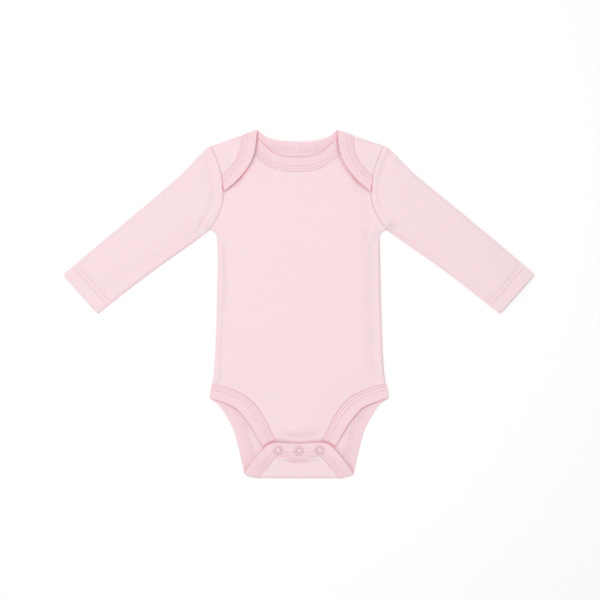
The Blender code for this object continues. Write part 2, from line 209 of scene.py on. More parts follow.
def smooth(rows: Sequence[Row] | Array, steps: int = FINE_STEPS) -> Array:
    """A smooth curve through rows of any width: Catmull-Rom.

    Args:
        rows: The points that the curve passes, one to a row.
        steps: How many points stand for each span.

    Returns:
        The curve's points, one to a row.
    """
    points = np.array(rows, float)
    ends = np.vstack([2 * points[0] - points[1], points, 2 * points[-1] - points[-2]])
    before, start, end, after = ends[:-3, None], ends[1:-2, None], ends[2:-1, None], ends[3:, None]
    t = (np.arange(steps) / steps)[None, :, None]
    pull = (end - before) * 0.5 * (t - 2 * t**2 + t**3)
    push = (after - start) * 0.5 * (t**3 - t**2)
    place = start * (1 - 3 * t**2 + 2 * t**3) + end * (3 * t**2 - 2 * t**3)
    return np.vstack([(place + pull + push).reshape(-1, points.shape[1]), points[-1]])


def lengths_along(path: Array) -> Array:
    """How far along a path each of its points lies."""
    steps = np.linalg.norm(np.diff(path, axis=0), axis=1)
    return np.concatenate([[0.0], np.cumsum(steps)])


def at_lengths(path: Array, places: Array, rule: Array | None = None) -> Array:
    """The points of a path at given lengths.

    Args:
        path: The path, with any number of columns.
        places: Lengths from the path's start.
        rule: The line on which the lengths are measured, point for point with the path.

    Returns:
        One row for each length.
    """
    marks = lengths_along(path if rule is None else rule)
    return np.column_stack([np.interp(places, marks, column) for column in path.T])


def spaced(path: Array, spacing: float, rule: Array | None = None) -> Array:
    """The path again, with its points an even step apart.

    Args:
        path: The path, with any number of columns.
        spacing: About how long a step is.
        rule: The line on which the steps are measured, point for point with the path.

    Returns:
        The points.
    """
    total = lengths_along(path if rule is None else rule)[-1]
    return at_lengths(path, np.linspace(0.0, total, max(2, round(total / spacing) + 1)), rule)


def left_of(path: Array) -> Array:
    """The unit vector to the left-hand side of an open path at each of its points.

    Args:
        path: The path, in a plane.

    Returns:
        One unit vector for each point.
    """
    tangent = np.vstack([path[1:], path[-1:]]) - np.vstack([path[:1], path[:-1]])
    tangent /= np.linalg.norm(tangent, axis=1)[:, None]
    return np.column_stack([-tangent[:, 1], tangent[:, 0]])


def shifted(path: Array, distance: float) -> Array:
    """A path moved to its left-hand side by a distance."""
    return path + left_of(path) * distance


def mirrored(path: Array) -> Array:
    """The other half's copy of a path, in the opposite order.

    Args:
        path: Points, or stations of two points to a row.

    Returns:
        The copy.
    """
    other = path[::-1].copy()
    other[:, 0::2] *= -1
    return other


def ease(t: Array | float) -> Array:
    """0 to 1 with flat ends, for t from 0 to 1."""
    t = np.clip(t, 0.0, 1.0)
    return t * t * (3 - 2 * t)


def bell(distance: Array, width: float) -> Array:
    """1 at no distance, falling softly to 0 past about twice the width."""
    return np.exp(-((distance / width) ** 2))


def strip(distance: Array, start: float, end: float, soft: float) -> Array:
    """1 from start to end, easing to 0 over soft on either side."""
    return ease((distance - start) / soft + 0.5) * ease((end - distance) / soft + 0.5)


def rounded(distance: Array, radius: float) -> Array:
    """0 to 1 as the quarter round of an edge rises, over its radius."""
    return np.sqrt(1 - (1 - np.clip(distance / radius, 0.0, 1.0)) ** 2)


def nearest(points: Array, path: Array) -> tuple[Array, Array]:
    """Where a path comes nearest to each point.

    Args:
        points: Points in a plane.
        path: An open path in the same plane.

    Returns:
        The distance to the path, and the fraction of its length at which it is nearest.
    """
    marks = lengths_along(path)
    best = np.full(len(points), np.inf)
    where = np.zeros(len(points))
    for start, end, low, high in zip(path, path[1:], marks, marks[1:]):
        run = end - start
        t = np.clip((points - start) @ run / max(run @ run, 1e-12), 0.0, 1.0)
        far = np.linalg.norm(points - start - t[:, None] * run, axis=1)
        closer = far < best
        best[closer] = far[closer]
        where[closer] = ((low + t * (high - low)) / marks[-1])[closer]
    return best, where


def folded(points: Array) -> Array:
    """Points of either half moved to the +X half."""
    return np.column_stack([np.abs(points[:, 0]), points[:, 1]])


@dataclass(frozen=True)
class Crease:
    """A soft trough or ridge in cloth, drawn one by one.

    Attributes:
        path: The points that it follows, mm.
        height: Its height at its fullest, mm; below 0 it is a trough.
        width: How far it spreads to either side, mm.
        lean: Where along it, from 0 to 1, it is fullest.
    """

    path: tuple[Row, ...]
    height: float
    width: float
    lean: float = 0.5

    def at(self, points: Array) -> Array:
        """The crease's height at each point.

        Args:
            points: Points in a plane, mm.

        Returns:
            The heights, mm.
        """
        far, where = nearest(points, smooth(self.path, 6))
        before = ease(where / self.lean)
        after = ease((1 - where) / (1 - self.lean))
        return self.height * bell(far, self.width) * np.minimum(before, after)


def creased(points: Array, creases: Iterable[Crease]) -> Array:
    """The height of all creases together at each point."""
    return sum((crease.at(points) for crease in creases), np.zeros(len(points)))


def slack(points: Array, height: float, seed: int) -> Array:
    """The slow, uneven swell of cloth that lies loose: a few long waves with seeded directions.

    Args:
        points: Points in the cloth's plane, mm.
        height: The most that the waves reach together, mm.
        seed: Chooses the directions and phases.

    Returns:
        The swell at each point, mm.
    """
    chance = np.random.default_rng(seed)
    swell = np.zeros(len(points))
    wavelengths = (190.0, 120.0, 77.0, 49.0)
    for wavelength in wavelengths:
        angle, phase = chance.uniform(0, math.tau, 2)
        along = points @ np.array((math.cos(angle), math.sin(angle)))
        swell += np.sin(along * math.tau / wavelength + phase) * wavelength
    return swell * height / sum(wavelengths)


# ---------------------------------------------------------------- how the cloth is cut and laid


def shoulder_travel(points: Array) -> Array:
    """How far each point lies outward of the line where the shoulder's roll starts."""
    return (points - SHOULDER_INNER) @ SHOULDER_OUTWARD + SHOULDER_ROLL


def crotch_start(x: Array) -> Array:
    """The height up the garment at which the crotch's roll starts.

    Args:
        x: How far each column lies from the middle, mm.

    Returns:
        The height on each column, mm.
    """
    share = np.minimum(np.abs(x) / CROTCH_HALF_WIDTH, 1.0)
    return CROTCH_FOLD_Y + CROTCH_CORNER_RISE * share**CROTCH_CORNER_POWER + CROTCH_ROLL


def cut_of_lap(laid: Array) -> Array:
    """The flat cut of points that lie on the lap."""
    travel = shoulder_travel(laid)[:, None]
    return laid + SHOULDER_OUTWARD * (math.pi * SHOULDER_ROLL - 2 * travel)


def cut_of_tail(laid: Array) -> Array:
    """The flat cut of points that lie on the tail."""
    start = crotch_start(laid[:, 0])
    return np.column_stack([laid[:, 0], 2 * start - math.pi * CROTCH_ROLL - laid[:, 1]])


def turn_over(past: Array, radius: float, rise: Array) -> tuple[Array, Array]:
    """Takes cloth round a half turn.

    Args:
        past: How far past the start of the turn each point is, along the cloth's outside.
        radius: The outside radius of the turn.
        rise: How far each point stands off the cloth's inside face.

    Returns:
        How far each point has travelled, and its height.
    """
    arm = radius - WALL + rise
    angle = np.clip(past / radius, 0.0, math.pi)
    over = np.maximum(past - math.pi * radius, 0.0)
    return arm * np.sin(angle) - over + np.minimum(past, 0.0), radius - arm * np.cos(angle)


def lay_back(flat: Array, rise: Array) -> Array:
    """Where the back's cloth lies: flat on the surface, and rolled over as the laps and the tail.

    Args:
        flat: Points in the back's flat cut.
        rise: How far each stands off the cloth's inside face.

    Returns:
        Points in the frame, mm.
    """
    half = folded(flat)
    past = shoulder_travel(half)
    travel, height = turn_over(past, SHOULDER_ROLL, rise)
    lapped = half + SHOULDER_OUTWARD * (travel - past)[:, None]
    off_armhole = nearest(lapped, ARMHOLE_LINE)[0]
    loose = ease((past - math.pi * SHOULDER_ROLL) / LAP_LIFT_RUN) * ease(off_armhole / LAP_HELD)
    start = crotch_start(half[:, 0])
    down, rolled = turn_over(start - flat[:, 1], CROTCH_ROLL, rise)
    over = start - flat[:, 1] - math.pi * CROTCH_ROLL
    lap = past > 0
    x = np.where(lap, lapped[:, 0], half[:, 0]) * np.where(flat[:, 0] < 0, -1.0, 1.0)
    y = np.where(lap, lapped[:, 1], start - down)
    stands = ease((flat[:, 1] - FRONT_NECK[0][1] - NECK_BOW * flat[:, 0] ** 2) / NECK_STAND_RUN)
    stands *= NECK_STAND * ease(-past / NECK_HELD)
    tail = TAIL_LIFT * ease(over / TAIL_LIFT_RUN)
    z = np.where(lap, height + LAP_LIFT * loose, rolled + tail + stands)
    return np.column_stack([x, y, np.maximum(z, 0.0)])


def lay_front(flat: Array, rise: Array) -> Array:
    """Where the front's cloth lies: just above the back, crowned in the middle.

    Args:
        flat: Points in the front's flat cut.
        rise: How far each stands off the cloth's inside face.

    Returns:
        Points in the frame, mm.
    """
    across = np.maximum(1 - (flat[:, 0] / SIDE_SEAM[3][0]) ** 2, 0.0)
    down = ease((flat[:, 1] - DOME_LOW) / DOME_FADE) * ease((DOME_HIGH - flat[:, 1]) / DOME_FADE)
    pressed = ease(shoulder_travel(folded(flat)) / SHOULDER_PRESS_RUN + 1.0)
    height = rise * (1 - SHOULDER_PRESS * pressed)
    for edge in CREVICES:
        height -= CREVICE * bell(nearest(folded(flat), edge)[0], CREVICE_WIDTH)
    floor = np.minimum(rise, CLEAR_OF_BACK)
    return np.column_stack([flat, FRONT_FLOOR + np.maximum(FRONT_DOME * across * down + height, floor)])


def settle(points: Array) -> Array:
    """Gives the garment its slight lean to one side.

    Args:
        points: Points in the frame, mm.

    Returns:
        The leaned points, in metres.
    """
    up = ease((points[:, 1] - LEAN_LOW) / (LEAN_FULL - LEAN_LOW))
    near = 1 - ease((np.abs(points[:, 0]) - LEAN_INNER) / (LEAN_OUTER - LEAN_INNER))
    leaned = points.copy()
    leaned[:, 0] -= LEAN * up * near
    return leaned * MM


CREVICES = (
    smooth(LAP_EDGE, 6)[:, :2] - SHOULDER_OUTWARD * LAP_CREVICE_INSET,
    smooth(TAIL_EDGE, 6)[:, :2] + (0.0, TAIL_CREVICE_INSET),
)
ARMHOLE_LINE = smooth(ARMHOLE, 4)
SIDE_LINE = smooth(SIDE_SEAM, 4)


# ---------------------------------------------------------------- materials


def linear(colour: str) -> tuple[float, float, float, float]:
    """Turns a colour from sRGB to linear.

    Args:
        colour: An sRGB hex colour such as #f9e0e4.

    Returns:
        Its linear RGBA.
    """
    parts = [int(colour[place : place + 2], 16) / 255 for place in (1, 3, 5)]
    red, green, blue = (c / 12.92 if c <= 0.04045 else ((c + 0.055) / 1.055) ** 2.4 for c in parts)
    return red, green, blue, 1.0


def add_node(
    tree: bpy.types.NodeTree, kind: str, inputs: dict[str | int, object], **settings: object
) -> bpy.types.Node:
    """Adds a node with its settings.

    Args:
        tree: The material's node tree.
        kind: The node's type.
        inputs: For each input, by name or number, its value or the output that it is linked to.
        **settings: The node's own properties.

    Returns:
        The new node.
    """
    node = tree.nodes.new(kind)
    for name, value in settings.items():
        setattr(node, name, value)
    for socket, value in inputs.items():
        if isinstance(value, bpy.types.NodeSocket):
            tree.links.new(value, node.inputs[socket])
        else:
            node.inputs[socket].default_value = value
    return node


# The wave texture's scale for bands one metre apart.
WAVE_UNIT = math.tau / 20


def painted_shade_in_hollows(tree: bpy.types.NodeTree, colour: bpy.types.Node, hollow: str, reach: float) -> bpy.types.Node:
    """Paints shade into a colour where little of the sky is open to the surface.

    Args:
        tree: The material's node tree.
        colour: The mix node of the colour in the open.
        hollow: The colour of the painted shade, deep in a hollow.
        reach: How far around a point its surroundings count for the painted shade, mm.

    Returns:
        The mix node of the colour with its painted shade.
    """
    # Painted shade: the less sky a point sees, the more of the shade colour is mixed in.
    sky = add_node(tree, "ShaderNodeAmbientOcclusion", {"Distance": reach * MM}, samples=8)
    openness = add_node(
        tree, "ShaderNodeMapRange",
        {"Value": sky.outputs["AO"], "From Min": PAINTED_SHADE_FULL_AT, "From Max": PAINTED_SHADE_NONE_AT},
    )
    return add_node(
        tree, "ShaderNodeMix", {0: openness.outputs[0], 6: linear(hollow), 7: colour.outputs[2]},
        data_type="RGBA",
    )


def bare_material(name: str) -> tuple[bpy.types.Material, bpy.types.NodeTree]:
    """Makes a material with an empty node tree.

    Args:
        name: The material's name.

    Returns:
        The material and its node tree.
    """
    material = bpy.data.materials.new(name)
    material.use_nodes = True
    material.node_tree.nodes.clear()
    return material, material.node_tree


@dataclass(frozen=True)
class CottonKnit:
    """Combed cotton interlock, dyed in the piece: matt, with fine wales and a short soft fuzz.

    The wales catch the light as faint upright lines, courses of slightly uneven yarn draw soft streaks
    across them, and the fuzz lifts and pales the cloth where it turns away. Shade is painted into the
    colour deep between folds.

    Attributes:
        name: The material's name.
        colour: The cloth's main colour.
        deep: The colour of its darker courses.
        hollow: The colour of the shade painted deep between folds, which stands in for light that has gone
        through dyed cloth and off it several times.
        streak: How much of the darker colour shows, from 0 to 1.
        wale: The width of one wale, mm. The real one is 0.9, drawn coarser so that it shows.
        course: The height of one streak of courses, mm.
        streaks: How many streaks follow each other along a course, to a metre.
        reach: How far around a point its surroundings count as a hollow for the painted shade, mm.
        bump: How deep the knit is drawn, mm.
    """

    name: str
    colour: str
    deep: str
    # The colour of the painted shade between folds.
    hollow: str = "#e0708c"
    streak: float = 0.5
    wale: float = 1.8
    course: float = 2.2
    streaks: float = 45.0
    reach: float = 6.5
    bump: float = 0.045

    def material(self) -> bpy.types.Material:
        """Makes the material and its nodes.

        Returns:
            The finished material.
        """
        material, tree = bare_material(self.name)
        cut = add_node(tree, "ShaderNodeAttribute", {}, attribute_name="cut").outputs["Vector"]
        stretched = add_node(
            tree, "ShaderNodeVectorMath",
            {0: cut, 1: (self.streaks, 1 / (self.course * MM), self.streaks)},
            operation="MULTIPLY",
        )
        courses = add_node(
            tree, "ShaderNodeTexNoise", {"Vector": stretched.outputs[0], "Scale": 1.0, "Detail": 3.0}
        )
        cloudy = add_node(tree, "ShaderNodeTexNoise", {"Vector": cut, "Scale": 22.0, "Detail": 2.0})
        wales = add_node(
            tree, "ShaderNodeTexWave",
            {"Vector": cut, "Scale": WAVE_UNIT / (self.wale * MM), "Distortion": 0.6,
             "Detail": 2.0, "Detail Scale": 1.5},
            bands_direction="X",
        )
        fuzz = add_node(tree, "ShaderNodeTexNoise", {"Vector": cut, "Scale": 900.0, "Detail": 4.0})
        mottle = add_node(
            tree, "ShaderNodeMath", {0: cloudy.outputs["Fac"], 1: 0.25, 2: courses.outputs["Fac"]},
            operation="MULTIPLY_ADD",
        )
        amount = add_node(
            tree, "ShaderNodeMapRange",
            {"Value": mottle.outputs[0], "From Min": 0.45, "From Max": 0.9, "To Max": self.streak},
        )
        colour = add_node(
            tree, "ShaderNodeMix",
            {0: amount.outputs[0], 6: linear(self.colour), 7: linear(self.deep)},
            data_type="RGBA",
        )
        # Painted shade: the colour turns deeper pink where little sky reaches, between folds and under
        # edges.
        colour = painted_shade_in_hollows(tree, colour, self.hollow, self.reach)
        relief = add_node(
            tree, "ShaderNodeMath", {0: courses.outputs["Fac"], 1: 0.8, 2: wales.outputs["Fac"]},
            operation="MULTIPLY_ADD",
        )
        relief = add_node(
            tree, "ShaderNodeMath", {0: fuzz.outputs["Fac"], 1: 0.7, 2: relief.outputs[0]},
            operation="MULTIPLY_ADD",
        )
        bump = add_node(
            tree, "ShaderNodeBump",
            {"Strength": 0.55, "Distance": self.bump * MM, "Height": relief.outputs[0]},
        )
        shader = add_node(
            tree, "ShaderNodeBsdfPrincipled",
            {
                "Base Color": colour.outputs[2], "Normal": bump.outputs[0], "Roughness": 0.92,
                "Specular IOR Level": 0.25, "Sheen Weight": 0.22, "Sheen Roughness": 0.45,
                "Sheen Tint": linear("#fff4f2"), "Subsurface Weight": 0.3,
                "Subsurface Radius": (1.0, 0.42, 0.46), "Subsurface Scale": 1.1 * MM,
            },
        )
        add_node(tree, "ShaderNodeOutputMaterial", {"Surface": shader.outputs[0]})
        return material


@dataclass(frozen=True)
class SpunThread:
    """Spun polyester sewing thread, dyed to match.

    Its twist draws fine slanting lines, and its short fibres leave it a low, broken gloss.

    Attributes:
        name: The material's name.
        colour: The colour of the plies, painted deeper than the cloth's so that each row also carries the
            shade of its needle holes.
        groove: The shade painted between the plies.
        twist: From one ply to the next, mm, as coarse as the thread is drawn.
    """

    name: str = "spun_polyester_thread"
    # Deeper than the cloth: the thread's colour also paints in the shade of the needle holes.
    colour: str = "#d9a3b1"
    groove: str = "#c98d9c"
    twist: float = 0.55

    def material(self) -> bpy.types.Material:
        """Makes the material and its nodes.

        Returns:
            The finished material.
        """
        material, tree = bare_material(self.name)
        cut = add_node(tree, "ShaderNodeAttribute", {}, attribute_name="cut").outputs["Vector"]
        ply = add_node(
            tree, "ShaderNodeTexWave", {"Vector": cut, "Scale": WAVE_UNIT / (self.twist * MM)},
            bands_direction="DIAGONAL",
        )
        # Painted shade between the plies: the groove colour where the twist sinks.
        colour = add_node(
            tree, "ShaderNodeMix",
            {0: ply.outputs["Fac"], 6: linear(self.groove), 7: linear(self.colour)},
            data_type="RGBA",
        )
        bump = add_node(
            tree, "ShaderNodeBump", {"Strength": 0.4, "Distance": 0.05 * MM, "Height": ply.outputs["Fac"]}
        )
        shader = add_node(
            tree, "ShaderNodeBsdfPrincipled",
            {
                "Base Color": colour.outputs[2], "Normal": bump.outputs[0], "Roughness": 0.6,
                "Specular IOR Level": 0.4, "Sheen Weight": 0.1,
            },
        )
        add_node(tree, "ShaderNodeOutputMaterial", {"Surface": shader.outputs[0]})
        return material


@dataclass(frozen=True)
class EnamelledBrass:
    """Brass stamped into a ring and stove-enamelled.

    The enamel hides the metal: it is opaque and satin, and slightly uneven where it pooled. Shade is
    painted into its colour in the ring's hollow and under its rim.

    Attributes:
        name: The material's name.
        colour: The enamel's colour.
        thin: Its colour where the coat is thin.
        hollow: The colour of the shade painted in the ring's hollow and under its rim.
        reach: How far around a point its surroundings count as a hollow for the painted shade, mm.
    """

    name: str = "enamelled_snap_brass"
    colour: str = "#eccfd6"
    thin: str = "#e3bfc8"
    # The colour of the painted shade in the ring.
    hollow: str = "#a8606f"
    reach: float = 3.0

    def material(self) -> bpy.types.Material:
        """Makes the material and its nodes.

        Returns:
            The finished material.
        """
        material, tree = bare_material(self.name)
        place = add_node(tree, "ShaderNodeTexCoord", {}).outputs["Object"]
        pooled = add_node(tree, "ShaderNodeTexNoise", {"Vector": place, "Scale": 260.0, "Detail": 2.0})
        colour = add_node(
            tree, "ShaderNodeMix",
            {0: pooled.outputs["Fac"], 6: linear(self.thin), 7: linear(self.colour)},
            data_type="RGBA",
        )
        # Painted shade in the ring's hollow and under its rim.
        colour = painted_shade_in_hollows(tree, colour, self.hollow, self.reach)
        rough = add_node(
            tree, "ShaderNodeMapRange", {"Value": pooled.outputs["Fac"], "To Min": 0.3, "To Max": 0.42}
        )
        bump = add_node(
            tree, "ShaderNodeBump",
            {"Strength": 0.15, "Distance": 0.05 * MM, "Height": pooled.outputs["Fac"]},
        )
        shader = add_node(
            tree, "ShaderNodeBsdfPrincipled",
            {
                "Base Color": colour.outputs[2], "Roughness": rough.outputs[0],
                "Normal": bump.outputs[0], "Coat Weight": 0.3, "Coat Roughness": 0.2,
            },
        )
        add_node(tree, "ShaderNodeOutputMaterial", {"Surface": shader.outputs[0]})
        return material


@dataclass(frozen=True)
class MattLaminate:
    """A white matt laminate table top, moulded without a gloss, so that it shows soft shadows only.

    Attributes:
        name: The material's name.
        colour: The laminate's colour.
    """

    name: str = "matt_white_laminate"
    colour: str = "#ffffff"

    def material(self) -> bpy.types.Material:
        """Makes the material and its nodes.

        Returns:
            The finished material.
        """
        material, tree = bare_material(self.name)
        shader = add_node(
            tree, "ShaderNodeBsdfPrincipled",
            {"Base Color": linear(self.colour), "Roughness": 0.85, "Specular IOR Level": 0.1},
        )
        add_node(tree, "ShaderNodeOutputMaterial", {"Surface": shader.outputs[0]})
        return material


# ---------------------------------------------------------------- meshes


@dataclass
class Dresser:
    """Puts finished pieces on the frame, and keeps one material of each finish.

    Attributes:
        made: The materials that are made, by name.
    """

    made: dict[str, bpy.types.Material] = field(default_factory=dict)

    def finish(self, look: CottonKnit | SpunThread | EnamelledBrass | MattLaminate) -> bpy.types.Material:
        """The material of a finish, made the first time that it is asked for.

        Args:
            look: The finish.

        Returns:
            Its material.
        """
        if look.name not in self.made:
            self.made[look.name] = look.material()
        return self.made[look.name]

    def piece(
        self,
        name: str,
        points: Array,
        faces: Sequence[Sequence[int]],
        cut: Array,
        look: CottonKnit | SpunThread | EnamelledBrass,
        slot: str,
        stands_for: Sequence[str] = (),
    ) -> bpy.types.Object:
        """Makes a piece, dresses it and rides it on the frame.

        Args:
            name: The piece's name.
            points: Its points in the frame, mm.
            faces: Its faces, as the numbers of their points.
            cut: For each point its place in the cloth's own plane, mm, which the knit follows.
            look: Its finish.
            slot: Not used.
            stands_for: The frame's nodes that it replaces.

        Returns:
            The new object.
        """
        mesh = bpy.data.meshes.new(name)
        mesh.from_pydata(settle(points).tolist(), [], faces)
        mesh.shade_smooth()
        pattern = np.column_stack([cut, np.zeros(len(cut))]) if cut.shape[1] == 2 else cut
        places = mesh.attributes.new("cut", "FLOAT_VECTOR", "POINT")
        places.data.foreach_set("vector", (pattern * MM).ravel())
        mesh.materials.append(self.finish(look))
        mesh.validate()
        mesh.set_sharp_from_angle(angle=SHARP_FROM)
        obj = bpy.data.objects.new(name, mesh)
        bpy.context.scene.collection.objects.link(obj)
        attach(obj, BODY)
        if stands_for:
            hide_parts(*stands_for)
        LOG.info("%s: %d faces", name, len(mesh.polygons))
        return obj


BODY_KNIT = CottonKnit("cotton_interlock_knit", "#f5dce0", "#efd1d7", streak=0.22)
BAND_KNIT = CottonKnit("cotton_interlock_binding", "#f4d7dc", "#eac8cf", streak=0.25, wale=1.3)
THREAD = SpunThread()
ENAMEL = EnamelledBrass()
TABLE = MattLaminate()


def inside(points: Array, outline: Array) -> NDArray[np.bool_]:
    """Which points lie inside a closed outline.

    Args:
        points: Points in a plane.
        outline: The outline's corners in order.

    Returns:
        Whether each point does.
    """
    found = np.zeros(len(points), bool)
    x, y = points.T
    for (x0, y0), (x1, y1) in zip(outline, np.roll(outline, -1, axis=0)):
        if y0 != y1:
            crosses = (y0 > y) != (y1 > y)
            found ^= crosses & (x < (x1 - x0) * (y - y0) / (y1 - y0) + x0)
    return found


def cut_cloth(sides: Sequence[Array]) -> tuple[Array, NDArray[np.int64]]:
    """Meshes flat cloth: rows of points that follow its edges, and a staggered grid inside them.

    Args:
        sides: The sides of its outline in order, each a path that keeps its own corners.

    Returns:
        The points, and triangles whose corners run anticlockwise.
    """
    outline = np.vstack([spaced(side, EDGE_STEP)[:-1] for side in sides])
    closed = np.vstack([outline, outline[:1]])
    turning = np.sum(closed[:-1, 0] * closed[1:, 1] - closed[1:, 0] * closed[:-1, 1])
    inward = left_of(np.vstack([outline[-1:], closed]))[1:-1] * (1 if turning > 0 else -1)
    rows = []
    for offset in EDGE_ROWS:
        row = outline + inward * offset
        keep = inside(row, outline) & (nearest(row, closed)[0] > ROW_KEPT * offset)
        rows.append(row[keep])
    low, high = outline.min(0), outline.max(0)
    across = np.arange(low[0], high[0], CELL)
    up = np.arange(low[1], high[1], CELL * math.sqrt(0.75))
    grid = np.array([(x + CELL / 2 * (n % 2), y) for n, y in enumerate(up) for x in across])
    grid = grid[inside(grid, outline)]
    grid = grid[nearest(grid, closed)[0] > EDGE_ROWS[-1] + ROOM_TO_EDGE_ROWS]
    points = np.vstack([outline, *rows, grid])
    rim = [(n, (n + 1) % len(outline)) for n in range(len(outline))]
    found = geometry.delaunay_2d_cdt([Vector(p) for p in points], rim, [], 1, ONE_POINT)
    return np.array([tuple(v) for v in found[0]]), np.array(found[2])


def walled(
    outer: Array, inner: Array, triangles: NDArray[np.int64], facing: Facing
) -> tuple[Array, list[list[int]]]:
    """Closes two faces of cloth into a wall with a rim.

    Args:
        outer: The points of its outside.
        inner: The points of its inside, one for each of the outside's.
        triangles: The cloth's triangles, anticlockwise in its flat cut.
        facing: Which way the outside looks from the flat cut.

    Returns:
        All points, and the faces.
    """
    if facing is Facing.DOWN:
        triangles = triangles[:, ::-1]
    count = len(outer)
    ends = np.concatenate([triangles[:, [0, 1]], triangles[:, [1, 2]], triangles[:, [2, 0]]])
    _, first, uses = np.unique(np.sort(ends, axis=1), axis=0, return_index=True, return_counts=True)
    rim = ends[first[uses == 1]]
    faces = triangles.tolist() + (triangles[:, ::-1] + count).tolist()
    faces += [[b, a, a + count, b + count] for a, b in rim.tolist()]
    return np.vstack([outer, inner]), faces


def tube_faces(rings: int, around: int, capped: bool) -> list[list[int]]:
    """The faces of a tube of closed rings, one after another.

    Args:
        rings: How many rings it has.
        around: How many points each ring has.
        capped: Whether both its ends are closed by a flat face.

    Returns:
        The faces, as the numbers of their points.
    """
    faces = []
    for ring in range(rings - 1):
        for n in range(around):
            a, b = ring * around + n, ring * around + (n + 1) % around
            faces.append([a, b, b + around, a + around])
    if capped:
        faces.append(list(range(around))[::-1])
        faces.append(list(range((rings - 1) * around, rings * around)))
    return faces


@dataclass
class Stitching:
    """Twin-needle rows: each stitch is a short arch of thread that dives into the cloth at both ends.

    Attributes:
        pitch: From one stitch to the next, mm.
        length: How much of the pitch shows, mm.
        width: The thread's width, mm: spun thread is 0.3, drawn thicker so that it shows.
        arch: How high the middle of a stitch stands above its ends, mm.
        sunk: How deep the ends sit in the cloth, as a share of the arch.
        squash: How flat the thread is pressed, as a share of its width.
        pull: How sharply the cloth between two stitches is pulled in.
        sides: How many sides the thread is drawn with.
        profile: Along a stitch, from 0 to 1, the share of its full width.
        starts: Where the stitches start, a row of them at a time.
        ends: Where they end.
        normals: The unit vectors off the cloth's face at them.
    """

    pitch: float = 2.9
    length: float = 1.5
    width: float = 0.56
    arch: float = 0.2
    sunk: float = 0.6
    squash: float = 0.8
    pull: float = 1.5
    sides: int = 6
    profile: tuple[Row, ...] = ((0.0, 0.35), (0.12, 0.8), (0.5, 1.0), (0.88, 0.8), (1.0, 0.35))
    starts: list[Array] = field(default_factory=list)
    ends: list[Array] = field(default_factory=list)
    normals: list[Array] = field(default_factory=list)

    def dent(self, along: Array) -> Array:
        """How far the cloth between two stitches is pulled in, from 0 to 1, along a row."""
        between = along - (self.length - self.pitch) / 2
        return (0.5 + 0.5 * np.cos((between - self.pitch / 2) * math.tau / self.pitch)) ** self.pull

    def sew(
        self,
        line: Array,
        normal: Array,
        rule: Array,
        keep: Callable[[Array], NDArray[np.bool_]] | None = None,
    ) -> None:
        """Adds a row of stitches.

        Args:
            line: The path of the row in the frame, on the cloth's face.
            normal: The unit vector off that face at each point of the path.
            rule: The row in the flat cut, on which the stitches are counted off.
            keep: Says which stitches stay, by their middles.
        """
        total = lengths_along(rule)[-1]
        starts = np.arange(self.pitch / 2, total - self.pitch, self.pitch)
        first, last = at_lengths(line, starts, rule), at_lengths(line, starts + self.length, rule)
        off = at_lengths(normal, starts + self.length / 2, rule)
        stay = np.ones(len(first), bool) if keep is None else keep((first + last) / 2)
        self.starts.append(first[stay])
        self.ends.append(last[stay])
        self.normals.append(off[stay] / np.linalg.norm(off[stay], axis=1)[:, None])

    def piece(self, name: str, dresser: Dresser, slot: str) -> bpy.types.Object:
        """Joins all the stitches into one piece.

        Args:
            name: The piece's name.
            dresser: What dresses it.
            slot: A label handed on to the dresser.

        Returns:
            The piece.
        """
        start, end = np.vstack(self.starts), np.vstack(self.ends)
        normal = np.vstack(self.normals)
        run = end - start
        side = np.cross(run, normal)
        side /= np.linalg.norm(side, axis=1)[:, None]
        around = np.arange(self.sides) * math.tau / self.sides
        points, cut = [], []
        for t, share in self.profile:
            middle = start + run * t + normal * (self.arch * (4 * t * (1 - t) - self.sunk))
            for angle in around:
                reach = self.width / 2 * share
                lift = normal * (reach * math.cos(angle) * self.squash)
                points.append(middle + lift - side * (reach * math.sin(angle)))
                cut.append(np.tile((t * self.length, angle * self.width / 2), (len(start), 1)))
        ring_points = len(self.profile) * self.sides
        one = tube_faces(len(self.profile), self.sides, True)
        faces = [[v + ring_points * n for v in face] for n in range(len(start)) for face in one]
        cloud = np.stack(points, axis=1).reshape(-1, 3)
        return dresser.piece(name, cloud, faces, np.stack(cut, axis=1).reshape(-1, 2), THREAD, slot)


# ---------------------------------------------------------------- bindings


